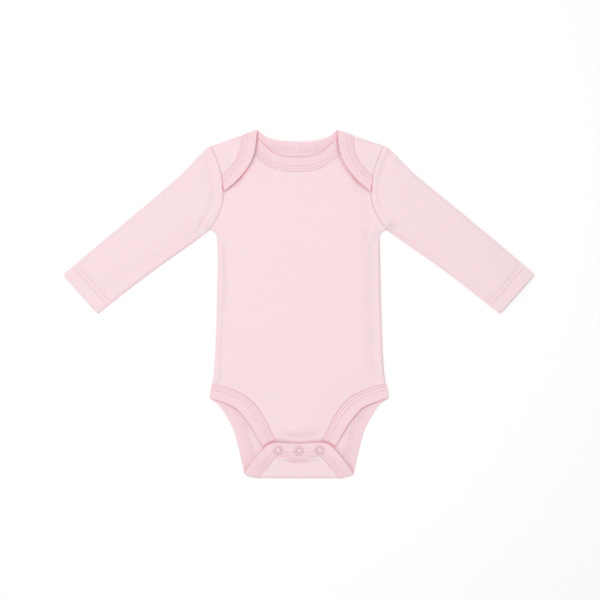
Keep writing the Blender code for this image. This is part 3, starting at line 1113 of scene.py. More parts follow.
@dataclass
class Binding:
    """A strip of the knit folded round an edge and held down by two rows of stitches.

    Attributes:
        name: The piece's name.
        rows: Stations in the flat cut, from one end to the other: free edge x, y, seam x, y.
        place: The function that lays the cloth.
        facing: Which way the outside looks from the flat cut.
        lift: How far the free edge stands off what it lies on: the share of the strip's length, and mm.
        width: From the free edge to the seam, mm.
        thick: Its thickness with what it wraps, mm.
        fold: The radius of the free edge, mm.
        puff: How much it swells between its edges, mm.
        groove: How deep a row of stitches pulls it in, mm.
        groove_width: How far to either side a row does, mm.
        held: The share of the groove that is left under the middle of a stitch.
        seam_drop: How far its far edge turns down to the panel, mm.
        seam_round: Over what run it does, mm.
        step: From one station to the next, mm.
        rows_at: How far from the free edge the two rows of stitches run, mm.
        inside_rows: The same on the inside.
        inside_groove: How deep a row of stitches pulls the inside in, mm.
        inside_from: How far from the strip's middle the inside starts to show, mm.
        inside_to: How far from the strip's middle it stops.
        presses: The middles of the snaps that press on it, as laid.
        press_radius: How far from its middle a snap presses, mm.
        press_depth: How deep it does, mm.
        press_soft: Over what run the cloth rises again beside a snap, mm.
        across: How far from the free edge the outside's lines of points run, mm.
        back_across: The same on the inside, from the seam back to the free edge.
    """

    name: str
    rows: Array
    place: Place
    facing: Facing
    lift: tuple[Row, ...]
    width: float = 16.9
    thick: float = 1.75
    fold: float = 1.1
    puff: float = 0.16
    groove: float = 0.22
    groove_width: float = 0.5
    held: float = 0.1
    seam_drop: float = 0.4
    seam_round: float = 0.6
    step: float = 0.62
    rows_at: tuple[float, float] = (10.4, 14.1)
    inside_rows: tuple[float, ...] = ()
    inside_groove: float = 0.18
    inside_from: float = 0.0
    inside_to: float = math.inf
    presses: tuple[Row, ...] = ()
    press_radius: float = 5.9
    press_depth: float = 0.95
    press_soft: float = 1.8
    across: tuple[float, ...] = (
        0.12, 0.4, 0.75, 1.1, 1.8, 3.0, 4.6, 6.4, 8.2, 9.4, 9.95, 10.4, 10.85, 11.5, 12.25, 13.0,
        13.65, 14.1, 14.55, 15.2, 15.9, 16.3, 16.6, 16.86,
    )
    back_across: tuple[float, ...] = (
        16.86, 16.6, 14.8, 14.1, 13.4, 11.1, 10.4, 9.7, 7.0, 4.0, 1.8, 0.9, 0.3,
    )

    def stations(self) -> Array:
        """The rows again, an even step apart along the first row of stitches."""
        return spaced(self.rows, self.step, self.line(self.rows, self.rows_at[0]))

    def line(self, rows: Array, distance: float) -> Array:
        """The line that runs at a distance from the free edge."""
        share = distance / self.width
        return rows[:, :2] * (1 - share) + rows[:, 2:] * share

    def top(self, flat: Array, distance: float, along: Array) -> Array:
        """The rise of the binding's outside at a distance from its free edge.

        Args:
            flat: The points of that line in the flat cut.
            distance: How far the line runs from the free edge, mm.
            along: How far along the strip each point lies, mm.

        Returns:
            The rise at each point, mm.
        """
        far = np.full(len(flat), distance)
        between_rows = np.mean(self.rows_at)
        dent = self.held + (1 - self.held) * Stitching().dent(lengths_along(flat))
        hollow = sum(bell(far - row, self.groove_width) for row in self.rows_at) * dent
        ripple = 0.1 * np.sin(along * math.tau / 2.5) * bell(far - between_rows, 3.4)
        roll = self.puff * (bell(far - 5.2, 4.0) + 0.6 * bell(far - between_rows, 1.3))
        uneven = 0.07 * np.sin(along / 11.0 + 0.7) + 0.05 * np.sin(along / 4.7)
        body = self.thick + roll + uneven + 0.35 * ripple - self.groove * hollow
        body -= self.seam_drop * (1 - rounded(self.width - far, self.seam_round))
        body *= 0.5 + 0.5 * rounded(far, self.fold)
        if self.presses:
            laid = self.place(flat, np.full(len(flat), WALL))
            on_top = laid[:, 2] > 2 * WALL
            start = self.press_radius - self.press_soft / 2
            for middle in self.presses:
                near = np.linalg.norm(laid[:, :2] - middle, axis=1)
                body -= self.press_depth * (1 - ease((near - start) / self.press_soft)) * on_top
        return body

    def bottom(self, flat: Array, distance: float) -> Array:
        """The rise of the binding's inside at a distance from its free edge.

        Args:
            flat: The points of that line in the flat cut.
            distance: How far the line runs from the free edge, mm.

        Returns:
            The rise at each point, mm.
        """
        far = np.full(len(flat), distance)
        rows = (bell(far - row, self.groove_width) for row in self.inside_rows)
        hollow = sum((self.inside_groove * row for row in rows), np.zeros(len(flat)))
        return self.thick / 2 * (1 - rounded(far, self.fold)) + hollow

    def raised(self, distance: float, along: Array) -> Array:
        """How much the lift adds at a distance from the free edge.

        Args:
            distance: That distance, mm.
            along: How far along the strip each point lies, mm.

        Returns:
            What it adds at each point, mm.
        """
        shares, heights = np.array(self.lift).T
        whole = lengths_along(self.line(self.stations(), self.rows_at[0]))[-1]
        return np.interp(along / whole, shares, heights) * float(1 - ease(distance / (0.85 * self.width)))

    def build(self, dresser: Dresser, stands_for: str) -> bpy.types.Object:
        """Makes the binding.

        Args:
            dresser: What dresses the piece.
            stands_for: The frame's node that it replaces.

        Returns:
            The binding.
        """
        rows = self.stations()
        along = lengths_along(self.line(rows, self.rows_at[0]))
        loops, cut = [], []
        for distance in self.across:
            flat = self.line(rows, distance)
            loops.append(self.place(flat, self.top(flat, distance, along) + self.raised(distance, along)))
            cut.append(np.column_stack([np.full(len(rows), distance), along]))
        for distance in self.back_across:
            flat = self.line(rows, distance)
            loops.append(self.place(flat, self.bottom(flat, distance) + self.raised(distance, along)))
            cut.append(np.column_stack([np.full(len(rows), -distance), along]))
        points = np.stack(loops, axis=1).reshape(-1, 3)
        around = len(loops)
        faces = tube_faces(len(rows), around, True)
        if self.facing is Facing.DOWN:
            faces = [face[::-1] for face in faces]
        pattern = np.stack(cut, axis=1).reshape(-1, 2)
        return dresser.piece(
            self.name, points, faces, pattern, BAND_KNIT, "cotton_binding", [stands_for]
        )

    def sew(self, thread: Stitching) -> None:
        """Sews both rows on the outside, and the rows of the inside where that shows.

        Args:
            thread: The stitching that the rows are added to.
        """
        rows = self.stations()
        along = lengths_along(self.line(rows, self.rows_at[0]))
        for distance in self.rows_at:
            flat = self.line(rows, distance)
            rise = self.top(flat, distance, along) + self.raised(distance, along)
            base = self.place(flat, rise)
            off = self.place(flat, rise + 0.5) - self.place(flat, rise - 0.5)
            thread.sew(base + off * 0.1, off, flat, self.clear_of_snaps)
        off_middle = along - along[-1] / 2
        for distance in self.inside_rows:
            for hand in (-1, 1):
                shown = (off_middle * hand >= self.inside_from) & (off_middle * hand <= self.inside_to)
                flat = self.line(rows[shown], distance)
                rise = self.bottom(flat, distance) + self.raised(distance, along[shown])
                base = self.place(flat, rise)
                off = self.place(flat, rise - 0.3) - self.place(flat, rise + 0.3)
                thread.sew(base, off, flat)

    def clear_of_snaps(self, middles: Array) -> NDArray[np.bool_]:
        """Which stitches aren't under a snap's ring.

        Args:
            middles: The stitches' middles, mm.

        Returns:
            Whether each one is clear.
        """
        clear = np.ones(len(middles), bool)
        for x, y in self.presses:
            clear &= np.linalg.norm(middles[:, :2] - (x, y), axis=1) > self.press_radius
        return clear

    def area(self) -> float:
        """Measures the strip that shows.

        Returns:
            Its area in square metres.
        """
        line = self.line(self.stations(), self.width / 2)
        return lengths_along(line)[-1] * self.width * MM * MM


# ---------------------------------------------------------------- panels


def neck_rows() -> Array:
    """Works out the stations of the back neck binding in the back's flat cut.

    Returns:
        A row for each station, from the middle to the lap's end.
    """
    lap = np.array(LAP_EDGE)
    cut = np.column_stack([cut_of_lap(lap[:, :2]), cut_of_lap(lap[:, 2:])])
    return smooth(np.vstack([BACK_NECK, cut]))


def back_leg_rows() -> Array:
    """Works out the stations of the leg and tail binding in the back's flat cut.

    Returns:
        A row for each station, from the side seam to the tail's middle.
    """
    tail = np.array(TAIL_EDGE)
    cut = np.column_stack([cut_of_tail(tail[:, :2]), cut_of_tail(tail[:, 2:])])
    return smooth(np.vstack([BACK_LEG, cut]))


def front_neck_rows() -> Array:
    """Works out the stations of the front neck binding.

    Returns:
        A row for each station, from the middle to just inside the shoulder fold.
    """
    rows = smooth(FRONT_NECK)
    free, seam = shoulder_travel(rows[:, :2]), shoulder_travel(rows[:, 2:])
    return rows[(free < FRONT_SHOULDER_END) & (seam < FRONT_SHOULDER_END)]


def whole_rows(half: Array) -> Array:
    """The stations of both halves in one run.

    Args:
        half: The stations of the +X half, which start or end in the middle.

    Returns:
        All of them, from one end of the strip to the other.
    """
    if abs(half[0, 0]) < ONE_POINT:
        return np.vstack([mirrored(half)[:-1], half])
    return np.vstack([half, mirrored(half)[1:]])


def whole_outline(half: Sequence[Array]) -> list[Array]:
    """The sides of a whole outline, for the sides of its +X half that start and end in the middle."""
    return [*half, *(mirrored(side) for side in reversed(half))]


def side_above(height: float) -> Array:
    """The side seam above a height, clear of the corner that it makes there."""
    side = smooth(SIDE_SEAM)
    return side[side[:, 1] > height + CORNER_CLEAR]


@dataclass
class Seams:
    """The heights that seams give to a panel's outside.

    Attributes:
        dip: How deep a sewn edge dives into its seam, mm.
        dip_width: How far from the seam it does, mm.
        allowance: The width of the seam allowance that lies under the cloth at the sides, mm.
        ridge: How much the allowance raises the cloth, mm.
        trough: How deep the cloth falls beside it, mm.
        trough_width: How far the trough spreads to either side, mm.
        trough_gap: From the allowance's edge to the middle of the trough, mm.
        loft: How much the loose cloth past the trough stands up, mm.
        loft_run: Over what run it does, mm.
    """

    dip: float = 0.4
    dip_width: float = 0.6
    allowance: float = 6.6
    ridge: float = 2.3
    trough: float = 1.3
    trough_width: float = 3.0
    trough_gap: float = 3.2
    loft: float = 2.3
    loft_run: float = 15.0

    def sewn(self, distance: Array) -> Array:
        """The dive into a seam."""
        return -self.dip * bell(distance, self.dip_width)

    def pressed(self, distance: Array, along: Array) -> Array:
        """The ridge over an allowance and the trough beside it, uneven along the seam.

        Args:
            distance: How far each point lies from the seam, mm.
            along: How far along the seam it lies, mm.

        Returns:
            The height at each point, mm.
        """
        width = self.allowance + 0.9 * np.sin(along / 23.0 + 1.0) + 0.5 * np.sin(along / 9.0)
        fade = 0.8 + 0.2 * np.sin(along / 31.0)
        ridge = self.ridge * strip(distance, 0.8, width, 3.8)
        past = distance - width - self.trough_gap
        trough = self.trough * bell(past, self.trough_width)
        loft = self.loft * ease(past / self.loft_run)
        return (ridge - trough) * fade + loft


SEAMS = Seams()


@dataclass
class FrontPanel:
    """The front body, one layer, which ends in a plain tab under the tail.

    Attributes:
        creases: Its creases, as laid.
        swell: How much its cloth swells between them, mm.
        edge_round: Over what run its side edges turn down, mm.
        side_meets: The height at which they meet the back, mm.
        side_strip: How far from the side seam its allowance shapes the cloth, mm.
        sides_differ: How far the unevenness of the two side seams is out of step, mm.
        side_top: The height at which the shape of the side seam has faded out, mm.
        held_run: Over what run the cloth comes free of a sewn edge, mm.
        leg_run: The same beside a leg binding, mm.
        tab_top: The height at which the tab under the tail starts, mm.
        lap_depth: How far in from the shoulder fold the lap presses on the cloth, mm.
        lap_from: How far from the middle the lap starts, mm.
        lap_soft: Over what run that pressure sets in, mm.
        follow: The share of a ridge that the inside follows.
        thinnest: How near its two faces come where the cloth is pressed, mm.
        least: How near they come at its edges, mm.
    """

    creases: tuple[Crease, ...] = (
        Crease(((-104, 88), (-96, 80), (-86, 68)), -1.7, 4.0, 0.25),
        Crease(((-99, 92), (-88, 92), (-76, 86)), 0.5, 4.0, 0.3),
        Crease(((-90, 122), (-82, 98), (-77, 76), (-75, 50)), -1.1, 6.0, 0.45),
        Crease(((103, 88), (95, 79), (88, 66)), -1.5, 3.8, 0.25),
        Crease(((97, 96), (87, 92), (79, 80)), 0.4, 4.5, 0.4),
        Crease(((90, 120), (83, 98), (79, 72), (78, 48)), -0.9, 5.5, 0.4),
        Crease(((-33, -153), (-12, -159), (9, -160), (36, -152)), -1.7, 3.6, 0.5),
        Crease(((-30, -142), (2, -149), (32, -142)), 2.2, 5.5, 0.5),
        Crease(((-62, -92), (-44, -106), (-31, -126), (-24, -146)), -0.3, 8.0, 0.6),
        Crease(((66, -90), (47, -104), (33, -124), (26, -146)), -0.35, 7.0, 0.5),
        Crease(((-70, 118), (-58, 96), (-52, 66)), 0.3, 11.0, 0.4),
        Crease(((66, 122), (60, 96), (58, 60)), 0.28, 10.0, 0.5),
        Crease(((-40, 148), (-30, 120), (-27, 92)), -0.16, 9.0, 0.3),
        Crease(((30, 146), (24, 118), (24, 96)), -0.14, 9.0, 0.4),
        Crease(((-66, -30), (-30, -38), (8, -34)), 0.14, 8.0, 0.5),
        Crease(((-10, 22), (30, 16), (66, 22)), 0.13, 9.0, 0.6),
        Crease(((-72, -72), (-36, -80), (-4, -78)), -0.12, 8.0, 0.4),
    )
    swell: float = 0.3
    edge_round: float = 2.4
    side_meets: float = 1.35
    side_strip: float = 16.0
    sides_differ: float = 9.0
    side_top: float = 86.0
    held_run: float = 26.0
    leg_run: float = 9.0
    tab_top: float = -178.0
    lap_depth: float = 62.0
    lap_from: float = 62.0
    lap_soft: float = 14.0
    follow: float = 0.6
    thinnest: float = 0.35
    least: float = 0.05

    def outline(self) -> list[Array]:
        """The sides of the +X half, from the tab's middle round to the neck's middle.

        Returns:
            The sides in order, each a path.
        """
        leg = shifted(smooth(FRONT_LEG)[:, 2:], -SEWN_GAP)[::-1]
        side = side_above(leg[-1, 1])
        arm = shifted(smooth(ARMHOLE), SEWN_GAP)
        arm = arm[shoulder_travel(arm) < FRONT_SHOULDER_END]
        neck = shifted(smooth(FRONT_NECK)[:, 2:], -SEWN_GAP)[::-1]
        neck = neck[shoulder_travel(neck) < FRONT_SHOULDER_END]
        neck[-1, 0] = 0.0
        tab = np.array([(0.0, FRONT_LEG[-1][1]), leg[0]])
        return [tab, leg, np.array([leg[-1], side[0]]), side[:-1], np.array([side[-2], arm[0]]), arm,
                np.array([arm[-1], neck[0]]), neck]

    def rise(self, flat: Array) -> tuple[Array, Array]:
        """The rise of the outside and of the inside.

        Args:
            flat: Points in the flat cut.

        Returns:
            Both rises at each point, mm.
        """
        half = folded(flat)
        side, _ = nearest(half, SIDE_LINE)
        arm, _ = nearest(half, shifted(ARMHOLE_LINE, SEWN_GAP))
        neck, _ = nearest(half, smooth(FRONT_NECK, 6)[:, 2:])
        leg, _ = nearest(half, smooth(FRONT_LEG, 6)[:, 2:])
        height = SEAMS.sewn(arm) + SEAMS.sewn(neck) + SEAMS.sewn(leg)
        from_edge = np.minimum(np.minimum(neck, leg), arm)
        held = ease(from_edge / self.held_run) * ease((flat[:, 1] - self.tab_top) / self.held_run)
        sides = SEAMS.pressed(side, half[:, 1] + self.sides_differ * np.sign(flat[:, 0]))
        by_side = sides * ease((self.side_top - half[:, 1]) / self.held_run) * ease(leg / self.leg_run)
        height += np.where(side < self.side_strip, by_side, np.minimum(sides, SEAMS.loft) * held)
        height += creased(flat, self.creases) + slack(flat, self.swell, 4)
        under_lap = ease((shoulder_travel(half) + self.lap_depth) / self.lap_soft)
        under_lap *= ease((half[:, 0] - self.lap_from) / self.lap_soft)
        height = height * (1 - under_lap) + np.minimum(height, 0.0) * under_lap
        base = lay_front(flat, np.zeros(len(flat)))[:, 2]
        outer = WALL + height
        top = self.side_meets + (base + outer - self.side_meets) * rounded(side, self.edge_round)
        top = np.where(half[:, 1] < UNDERARM_START, top, base + outer)
        inner = np.minimum(np.maximum(0.0, height * self.follow), outer - self.thinnest)
        bottom = np.minimum(base + inner, top - self.least)
        return top - base, bottom - base

    def build(self, dresser: Dresser) -> bpy.types.Object:
        """Makes the front body.

        Args:
            dresser: What dresses the piece.

        Returns:
            The front body.
        """
        flat, triangles = cut_cloth(whole_outline(self.outline()))
        outer, inner = self.rise(flat)
        points, faces = walled(lay_front(flat, outer), lay_front(flat, inner), triangles, Facing.UP)
        return dresser.piece(
            "front_body", points, faces, np.vstack([flat, flat]), BODY_KNIT, "cotton_interlock",
            ["front_panel"],
        )


@dataclass
class BackPanel:
    """The back body in one with its shoulder laps and its tail.

    Attributes:
        lap_creases: Creases of the laps, as laid.
        tail_creases: Creases of the tail, as laid.
        back_creases: Creases of the side that lies on the surface.
        edge_round: Over what run its side edges turn up, mm.
        edge_least: How thick it is right at those edges, mm.
        thinnest: How near its two faces come where the cloth is pressed, mm.
    """

    lap_creases: tuple[Crease, ...] = (
        Crease(((82, 184), (83.5, 172), (84, 160)), -0.9, 1.9, 0.5),
        Crease(((86.5, 184), (87.5, 172), (87, 161)), 0.5, 1.6, 0.5),
        Crease(((74, 190), (77, 181), (78, 173)), -0.22, 2.6, 0.5),
        Crease(((-80, 188), (-82, 175), (-83, 163)), -0.6, 2.6, 0.6),
        Crease(((-88, 186), (-86, 176), (-87, 166)), 0.22, 2.4, 0.4),
        Crease(((-72, 196), (-76, 188), (-77, 178)), -0.16, 3.0, 0.5),
    )
    tail_creases: tuple[Crease, ...] = (
        Crease(((-36, -184.5), (-20, -187.2), (0, -188.4), (20, -187.4), (37, -184.4)), -3.3, 2.1, 0.5),
        Crease(((-20, -193), (0, -195), (18, -193)), 1.0, 3.2, 0.4),
        Crease(((-36, -199), (-30, -194), (-27, -188)), 0.3, 2.4, 0.5),
        Crease(((35, -200), (31, -194), (28, -188)), 0.25, 2.4, 0.5),
    )
    back_creases: tuple[Crease, ...] = (
        Crease(((-100, 90), (-88, 80), (-78, 60)), -0.5, 4.5, 0.3),
        Crease(((99, 92), (88, 84), (80, 66)), -0.45, 4.0, 0.3),
        Crease(((-60, -150), (-38, -128), (-30, -100)), -0.35, 7.0, 0.4),
        Crease(((58, -152), (42, -130), (36, -98)), -0.4, 6.0, 0.5),
        Crease(((-44, 60), (-10, 52), (34, 58)), -0.2, 9.0, 0.5),
        Crease(((-30, -20), (14, -28), (58, -20)), -0.22, 8.0, 0.4),
        Crease(((-52, 150), (-20, 160), (22, 158), (50, 148)), -0.25, 6.0, 0.5),
    )
    edge_round: float = 2.2
    edge_least: float = 0.08
    thinnest: float = 0.3

    def outline(self) -> list[Array]:
        """The sides of the +X half, from the tail's middle round to the neck's middle.

        Returns:
            The sides in order, each a path.
        """
        leg = shifted(back_leg_rows()[:, 2:], -SEWN_GAP)[::-1]
        leg[0, 0] = 0.0
        side = side_above(leg[-1, 1])
        arm = shifted(smooth(ARMHOLE), SEWN_GAP)
        arm = arm[shoulder_travel(arm) < 0]
        lap_arm = cut_of_lap(arm[arm[:, 1] > LAP_EDGE[-1][3] + 0.6])[::-1]
        neck = shifted(neck_rows()[:, 2:], -SEWN_GAP)[::-1]
        neck[-1, 0] = 0.0
        return [leg, np.array([leg[-1], side[0]]), side[:-1], np.array([side[-2], arm[0]]), arm,
                np.array([arm[-1], lap_arm[0]]), lap_arm, np.array([lap_arm[-1], neck[0]]), neck]

    def rise(self, flat: Array) -> tuple[Array, Array]:
        """The rise of the outside and of the inside.

        Args:
            flat: Points in the flat cut.

        Returns:
            Both rises at each point, mm.
        """
        half = folded(flat)
        laid = lay_back(flat, np.full(len(flat), WALL))
        spot = laid[:, :2]
        past_shoulder = shoulder_travel(half)
        past_crotch = crotch_start(half[:, 0]) - half[:, 1]
        on_lap = past_shoulder > math.pi * SHOULDER_ROLL
        on_tail = past_crotch > math.pi * CROTCH_ROLL
        on_back = (past_shoulder < 0) & (past_crotch < 0)
        arm, _ = nearest(folded(spot), shifted(ARMHOLE_LINE, SEWN_GAP))
        neck, _ = nearest(half, neck_rows()[::4, 2:])
        leg, _ = nearest(half, back_leg_rows()[::4, 2:])
        side, _ = nearest(half, SIDE_LINE)
        height = SEAMS.sewn(arm) + SEAMS.sewn(neck) + SEAMS.sewn(leg)
        for part, creases in (
            (on_lap, self.lap_creases), (on_tail, self.tail_creases), (on_back, self.back_creases)
        ):
            height[part] += creased(spot[part], creases)
        height[on_back] += np.minimum(SEAMS.pressed(side, half[:, 1]), 0.0)[on_back]
        outer = WALL + height
        edge = np.where(on_back & (half[:, 1] < UNDERARM_START), rounded(side, self.edge_round), 1.0)
        outer = self.edge_least + (outer - self.edge_least) * edge
        return outer, np.minimum(np.zeros(len(flat)), outer - self.thinnest)

    def build(self, dresser: Dresser) -> bpy.types.Object:
        """Makes the back body.

        Args:
            dresser: What dresses the piece.

        Returns:
            The back body.
        """
        flat, triangles = cut_cloth(whole_outline(self.outline()))
        outer, inner = self.rise(flat)
        points, faces = walled(lay_back(flat, outer), lay_back(flat, inner), triangles, Facing.DOWN)
        return dresser.piece(
            "back_body", points, faces, np.vstack([flat, flat]), BODY_KNIT, "cotton_interlock",
            ["back_panel"],
        )


# ---------------------------------------------------------------- sleeves


@dataclass
class Sleeve:
    """A sleeve laid flat: one piece of cloth folded at the top, with its seam along the lower edge.

    Attributes:
        name: The piece's name.
        node: The frame's node that it replaces.
        side: 1 for the +X sleeve and -1 for the other.
        creases: Its creases, drawn on the +X side and mirrored for the other.
        edge: The radius of its long edges, mm.
        edge_at_shoulder: The same at the shoulder, mm.
        shoulder_run: Over what run from the armhole the one turns into the other, mm.
        crown: How much its middle stands above its edges, mm.
        crown_run: Over what run from each end it does, mm.
        wall: The cloth's thickness, mm.
        swell: How much its cloth swells between the creases, mm.
        seam_at: How high the armhole's seam lies, mm, and how much higher it lies at the shoulder.
        seam_rises: The height up the garment from which it does, and over what run, mm.
        seam_run: Over what run the sleeve rises off that seam, mm.
        sides_differ: How far the unevenness of the two sleeves is out of step, mm.
        ridge: How much the armhole's seam allowance raises the cloth beside it, mm.
        ridge_ends: From where to where the allowance reaches, mm from the seam.
        trough: How deep the cloth falls past the allowance, mm.
        trough_at: How far from the seam it does, mm.
        trough_width: How far the trough spreads to either side, mm.
        hem: How far the turned hem reaches from the cuff's end, mm.
        hem_rows: How far from the cuff's end its two rows of stitches run, mm.
        hem_thick: How much the hem's layers raise the cloth, mm.
        groove: How deep a row of stitches pulls it in, mm.
        groove_width: How far to either side a row does, mm.
        across: How many steps of points cross each face.
        turn_points: How many points go round each long edge.
        from_armhole: How far from the armhole the first rings of points lie, mm.
        from_cuff: How far from the cuff's end the last ones lie, mm.
        ring_step: From one ring to the next between them, mm.
    """

    name: str
    node: str
    side: int
    creases: tuple[Crease, ...]
    edge: float = 1.5
    edge_at_shoulder: float = 2.1
    shoulder_run: float = 30.0
    crown: float = 1.5
    crown_run: float = 40.0
    wall: float = 0.8
    swell: float = 0.3
    seam_at: Row = (2.7, 1.5)
    seam_rises: Row = (134.0, 14.0)
    seam_run: float = 9.0
    sides_differ: float = 17.0
    ridge: float = 1.3
    ridge_ends: Row = (1.2, 7.0)
    trough: float = 1.9
    trough_at: float = 11.4
    trough_width: float = 3.3
    hem: float = 21.3
    hem_rows: tuple[float, float] = (14.6, 20.4)
    hem_thick: float = 0.55
    groove: float = 0.42
    groove_width: float = 0.65
    across: int = 44
    turn_points: int = 5
    from_armhole: tuple[float, ...] = (
        0.0, 0.3, 0.7, 1.2, 1.9, 2.8, 3.9, 5.2, 6.8, 8.6, 10.5, 12.5, 14.6,
    )
    from_cuff: tuple[float, ...] = (
        23.6, 22.4, 21.8, 21.2, 20.8, 20.4, 20.0, 19.4, 18.4, 17.0, 15.7, 15.0, 14.6, 14.2, 13.6,
        12.0, 9.8, 7.4, 5.0, 3.0, 1.8, 1.0, 0.5, 0.18, 0.0,
    )
    ring_step: float = 2.3

    def plan(self, u: Array, v: Array) -> Array:
        """The plan of the +X sleeve.

        Args:
            u: The share of its length, from armhole to cuff.
            v: The share of its width, from its seam to its top fold.

        Returns:
            A point for each, mm.
        """
        arm = shifted(smooth(ARMHOLE), -SEWN_GAP)
        lower, upper = smooth(SLEEVE_LOWER), smooth(SLEEVE_UPPER)
        ends = np.array([CUFF_LOWER, CUFF_UPPER])
        start = at_lengths(arm, v * lengths_along(arm)[-1])
        end = ends[0] * (1 - v)[:, None] + ends[1] * v[:, None]
        u_column, v_column = u[:, None], v[:, None]
        below, above = (
            at_lengths(side, u * lengths_along(side)[-1]) - (side[0] * (1 - u_column) + side[-1] * u_column)
            for side in (lower, upper)
        )
        return start * (1 - u_column) + end * u_column + below * (1 - v_column) + above * v_column

    def reach(self, v: Array) -> Array:
        """The sleeve's length at v of its width."""
        ends = self.plan(np.zeros(len(v)), v), self.plan(np.ones(len(v)), v)
        return np.linalg.norm(ends[1] - ends[0], axis=1)

    def rings_at(self, v: Array) -> Array:
        """How far along the sleeve each ring of points lies.

        Args:
            v: Shares of the sleeve's width.

        Returns:
            A row for each ring: the share of the length at each v.
        """
        reach = self.reach(v)
        first = np.array(self.from_armhole)[:, None] / reach
        last = 1 - np.array(self.from_cuff)[:, None] / reach
        count = round(float(np.mean((last[0] - first[-1]) * reach)) / self.ring_step)
        between = np.linspace(0.0, 1.0, count + 1)[1:-1, None]
        middle = first[-1] * (1 - between) + last[0] * between
        return np.vstack([first, middle, last])

    def top(self, u: Array, v: Array) -> Array:
        """The upper face.

        Args:
            u: The share of the sleeve's length.
            v: The share of its width.

        Returns:
            Points of the +X sleeve, mm.
        """
        spot = self.plan(u, v)
        reach = self.reach(v)
        fold, seam_side = self.plan(u, np.ones(len(u))), self.plan(u, np.zeros(len(u)))
        width = np.linalg.norm(fold - seam_side, axis=1)
        arm, _ = nearest(spot, shifted(ARMHOLE_LINE, -SEWN_GAP))
        cuff = (1 - u) * reach
        lower, upper = v * width, (1 - v) * width
        edge = self.edge + (self.edge_at_shoulder - self.edge) * (1 - ease(arm / self.shoulder_run)) * v
        swell = self.crown * 4 * v * (1 - v) * ease(arm / self.crown_run)
        swell *= 0.5 + 0.5 * ease(cuff / self.crown_run)
        along = u * reach + self.sides_differ * self.side
        inner = lower * (0.62 + 0.2 * (1 - ease(arm / 90.0)))
        height = 0.8 * SEAMS.pressed(inner, along) * ease((arm - 4.0) / 14.0) * ease((cuff - 16.0) / 12.0)
        height += slack(spot, self.swell, 11 + self.side)
        height *= ease(np.minimum(lower, upper) / 3.0)
        hem = self.hem_thick * ease((self.hem - cuff) / 0.9)
        for row in self.hem_rows:
            hem -= self.groove * bell(cuff - row, self.groove_width)
        hem -= 0.07 * np.sin(lower * math.tau / 5.0) * bell(cuff - np.mean(self.hem_rows), 4.0)
        rise = (2 * edge + swell + height + hem) * (0.55 + 0.45 * rounded(cuff, 1.0))
        rises_from, rises_over = self.seam_rises
        seam = self.seam_at[0] + self.seam_at[1] * ease((spot[:, 1] - rises_from) / rises_over)
        ridge = self.ridge * strip(arm, *self.ridge_ends, 3.2)
        ridge -= self.trough * bell(arm - self.trough_at, self.trough_width)
        ridge *= ease(np.minimum(lower, upper) / 3.0)
        clear = ease(arm / self.seam_run)
        mixed = seam * (1 - clear) + rise * clear + ridge
        mixed += SEAMS.sewn(arm) + creased(spot, self.creases) * ease(np.minimum(lower, upper) / 1.8)
        return np.column_stack([spot, np.maximum(mixed, 2 * self.wall + 0.1)])

    def bottom(self, u: Array, v: Array) -> Array:
        """The face that lies on the surface.

        Args:
            u: The share of the sleeve's length.
            v: The share of its width.

        Returns:
            Points of the +X sleeve, mm.
        """
        spot = self.plan(u, v)
        reach = self.reach(v)
        arm, _ = nearest(spot, shifted(ARMHOLE_LINE, -SEWN_GAP))
        cuff = (1 - u) * reach
        height = 0.8 * bell(arm, SEAMS.dip_width)
        for row in self.hem_rows:
            height += 0.3 * bell(cuff - row, self.groove_width)
        height += np.maximum(-creased(spot, self.creases), 0.0) * 0.5
        height += 0.5 * (1 - rounded(cuff, 0.9))
        return np.column_stack([spot, height])

    def ring(self, u_of: Callable[[Array], Array]) -> tuple[Array, Array]:
        """One ring of the sleeve's outside.

        Args:
            u_of: The share of the length at which it lies, for shares of the width.

        Returns:
            Its points, and their places in the cloth's own plane, mm.
        """
        ends = np.array([0.0, 1.0])
        low_end, high_end = self.plan(u_of(ends), ends)
        width = float(np.linalg.norm(high_end - low_end))
        edge = self.edge / width
        v = edge + (1 - 2 * edge) * np.linspace(0.0, 1.0, self.across + 1)
        upper, lower = self.top(u_of(v), v), self.bottom(u_of(v), v)
        turn = np.linspace(0.0, math.pi, self.turn_points + 2)[1:-1]
        loops = [lower]
        for low, high, end, outward in ((lower[-1], upper[-1], 1.0, 1), (lower[0], upper[0], 0.0, -1)):
            places = np.clip(end - outward * edge * (1 - np.sin(turn)), 0.0, 1.0)
            bent = self.plan(u_of(places), places)
            heights = low[2] + (high[2] - low[2]) * (1 - np.cos(turn)) / 2
            loops.append(np.column_stack([bent, heights]))
        ring = np.vstack([loops[0], loops[1], upper[::-1], loops[2][::-1]])
        run = np.array(CUFF_UPPER) - np.array(SHOULDER_OUTER)
        run /= np.linalg.norm(run)
        return ring, np.column_stack([ring[:, :2] @ (-run[1], run[0]), ring[:, :2] @ run])

    def build(self, dresser: Dresser) -> bpy.types.Object:
        """Makes the sleeve.

        Args:
            dresser: What dresses the piece.

        Returns:
            The sleeve.
        """
        grid_v = np.linspace(0.0, 1.0, 60)
        rings_u = self.rings_at(grid_v)
        rings = [self.ring(lambda v, row=row: np.interp(v, grid_v, row)) for row in rings_u]
        points = np.vstack([ring for ring, _ in rings])
        cut = np.vstack([pattern for _, pattern in rings])
        faces = tube_faces(len(rings), len(rings[0][0]), False)
        if self.side < 0:
            points[:, 0] *= -1
            faces = [face[::-1] for face in faces]
        obj = dresser.piece(self.name, points, faces, cut, BODY_KNIT, "cotton_interlock", [self.node])
        solid = obj.modifiers.new("wall", "SOLIDIFY")
        solid.thickness = self.wall * MM
        solid.offset = -1.0
        return obj

